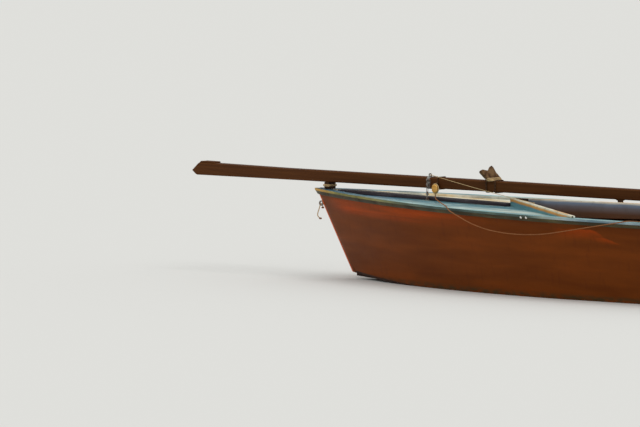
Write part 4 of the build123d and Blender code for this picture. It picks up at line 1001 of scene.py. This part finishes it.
finishes = {
    "hull_planks": tar_finish(),
    "tarred_planks": timber_finish("bottom_tar", (34, 22, 17), (50, 32, 24), (70, 46, 34), 0.5),
    "dark_timber": timber_finish("dark_timber", (46, 29, 19), (62, 40, 26), (84, 56, 36)),
    "inner_timber": timber_finish("inner_timber", (66, 48, 38), (92, 72, 60), (124, 112, 106), 0.75),
    "floor_wood": timber_finish("floor_wood", (78, 60, 44), (112, 90, 66), (142, 120, 92), 0.8),
    "seat_wood": timber_finish("seat_wood", (84, 54, 32), (122, 82, 50), (158, 114, 72), 0.62),
    "mast_wood": timber_finish("mast_wood", (70, 39, 17), (82, 47, 20), (94, 56, 25), 0.6, (1.6, 42, 42), 0.3),
    "rail_paint": paint_finish(
        "rail_paint", ((70, 120, 132), (128, 172, 172), (202, 216, 206)), (120, 104, 66),
        wear=0.64, extra=rail_edge_and_painted_light,
    ),
    "deck_paint": paint_finish(
        "deck_paint", ((150, 186, 186), (186, 206, 198), (226, 224, 204)), (196, 156, 92),
        wear=0.66, stretch=(3, 18, 18), extra=deck_bands_and_painted_light,
    ),
    "coaming_paint": paint_finish(
        "coaming_paint", ((84, 130, 136), (112, 156, 158), (190, 200, 184)), (200, 140, 70),
        wear=0.68, extra=coaming_bands_and_painted_light,
    ),
    "galvanised_steel": iron_finish(),
    "block_wood": timber_finish(
        "block_wood", (190, 130, 54), (224, 164, 76), (242, 196, 112), 0.35, (9, 60, 60), 0.15,
        coat=0.3,
    ),
    "fork_paint": timber_finish("fork_wood", (52, 36, 25), (78, 55, 37), (128, 100, 70), 0.8, (30, 30, 5)),
    "pale_rope": rope_finish("pale_rope", (166, 136, 92), (226, 198, 150)),
    "red_rope": rope_finish("red_rope", (116, 70, 40), (168, 112, 70)),
    "dark_rope": rope_finish("dark_rope", (54, 34, 21), (92, 62, 40)),
}
own_finishes = {
    "gunwale_bolts": zinc_finish(),
    # Dark grey timber, darkened further as a painted shadow of the mast that lies over the king plank.
    "king_plank": timber_finish("king_plank", (50, 44, 48), (66, 58, 62), (104, 100, 104), cracks=0.3),
    "stem": tar_finish("stem_tar", nose=True),
    "strakes": paint_finish(
        "strake_paint", ((46, 40, 24), (64, 56, 32), (88, 82, 50)), (72, 48, 28), wear=0.7,
        extra=edge_of_strake,
    ),
}

for row in frame["record"]["subparts"]:
    node = frame["nodes"][row["node"]]
    node.data.materials.clear()
    node.data.materials.append(own_finishes.get(row["node"], finishes[row["material_slot"]]))
for piece, slot in dressed:
    piece.data.materials.append(own_finishes.get(piece.name, finishes[slot]))
print("finished", len(frame["nodes"]), "nodes")

# %% [markdown]
# ## Rounded edges
#
# No timber has a knife edge. Each one is copied, its doubled points are merged, flat triangles are joined
# into whole faces, and every sharp edge gets a narrow bevel. The copy then stands for its CAD node. The
# strakes' fore ends are also cut back along the stem's rake.


# %% Round the timbers' edges
def rounded_copy(node_name, width):
    """A copy of a CAD node with its sharp edges bevelled, which stands for the node."""
    node = frame["nodes"][node_name]
    mesh = node.data.copy()
    mesh.name = node_name + "_rounded"
    shape = welded(node_name)
    if node_name == "strakes":
        for vertex in shape.verts:
            if vertex.co.x > strake_nose:
                vertex.co.x -= (sheer_at(bow_x) - vertex.co.z) * stem_rake
    bevel_sharp(shape, width)
    shape.to_mesh(mesh)
    shape.free()
    piece = show(node_name + "_rounded", mesh)
    mesh.set_sharp_from_angle(angle=math.radians(32))
    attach(piece, node["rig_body"])
    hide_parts(node_name)
    return piece


bow_x, strake_nose, stem_rake = aft(0), 2.575, 0.589
edge_widths = {
    "mast": 0.003, "stem": 0.004, "capping": 0.004, "coaming": 0.005, "king_plank": 0.004, "strakes": 0.006,
    "coaming_post": 0.006, "bow_chock": 0.005, "mast_thwart": 0.004, "rowing_thwart": 0.004,
    "stern_seat": 0.004, "stern_crutch": 0.004, "cap_cleats": 0.003, "mast_step": 0.003,
    "rowlock_pads": 0.003, "thwart_knees": 0.003, "rudder_blade": 0.005, "rudder_cheeks": 0.003,
    "floor_boards": 0.002, "transom": 0.003, "quarter_knees": 0.003, "skeg": 0.004, "keel_strip": 0.004,
}
for node_name, width in edge_widths.items():
    piece = rounded_copy(node_name, width)
    print(node_name, len(piece.data.polygons), "faces")

# %% [markdown]
# ## The floor and the light
#
# The boat floats, so the floor lies at its waterline and the hull goes on below it. The hull's inside is
# partly lower than that, so the floor has a hole in the hull's outline there. The floor is plain and pale. A
# lamp near the boat would leave a bright pool on it, so a wide soft sun and an even sky light it all.

# %% Lay the floor and hang the lamps
floor_reach, rim_points, tuck, clear_of_hull = 450, 240, 0.004, 5
hull_faces = surface_of("side_port", "side_starboard", "transom", "bottom")
hull_centre = Vector((-0.4, 0, -0.0005))
floor_mesh = bpy.data.meshes.new("floor")
shape = bmesh.new()
bmesh.ops.create_circle(shape, segments=rim_points, radius=floor_reach)
rim = bmesh.ops.create_circle(shape, segments=rim_points, radius=1)["verts"]
for vertex in rim:
    away = vertex.co.normalized()
    hull, _, _, _ = hull_faces.ray_cast(hull_centre + away * clear_of_hull, -away)
    vertex.co = Vector((hull.x, hull.y, 0)) - away * tuck
bmesh.ops.bridge_loops(shape, edges=shape.edges[:])
bmesh.ops.recalc_face_normals(shape, faces=shape.faces[:])
shape.to_mesh(floor_mesh)
shape.free()
floor = bpy.data.objects.new("floor", floor_mesh)
scene.collection.objects.link(floor)
plain = Finish("plain_floor", roughness=1.0)
plain.shader.inputs["Base Color"].default_value = colour(226, 226, 222)
plain.shader.inputs["Specular IOR Level"].default_value = 0
floor_mesh.materials.append(plain.material)

sky_strength, sun_strength, sun_spread = 0.70, 0.95, math.radians(50)
sun_from = Vector((-0.45, 0.10, 1))
world = bpy.data.worlds.new("soft_light")
world.use_nodes = True
world.node_tree.nodes["Background"].inputs["Color"].default_value = (1, 1, 1, 1)
world.node_tree.nodes["Background"].inputs["Strength"].default_value = sky_strength
scene.world = world

sun = bpy.data.lights.new("soft_sun", "SUN")
sun.energy = sun_strength
sun.angle = sun_spread
sun_holder = bpy.data.objects.new("soft_sun", sun)
scene.collection.objects.link(sun_holder)
sun_holder.rotation_euler = (-sun_from).to_track_quat("-Z", "Y").to_euler()
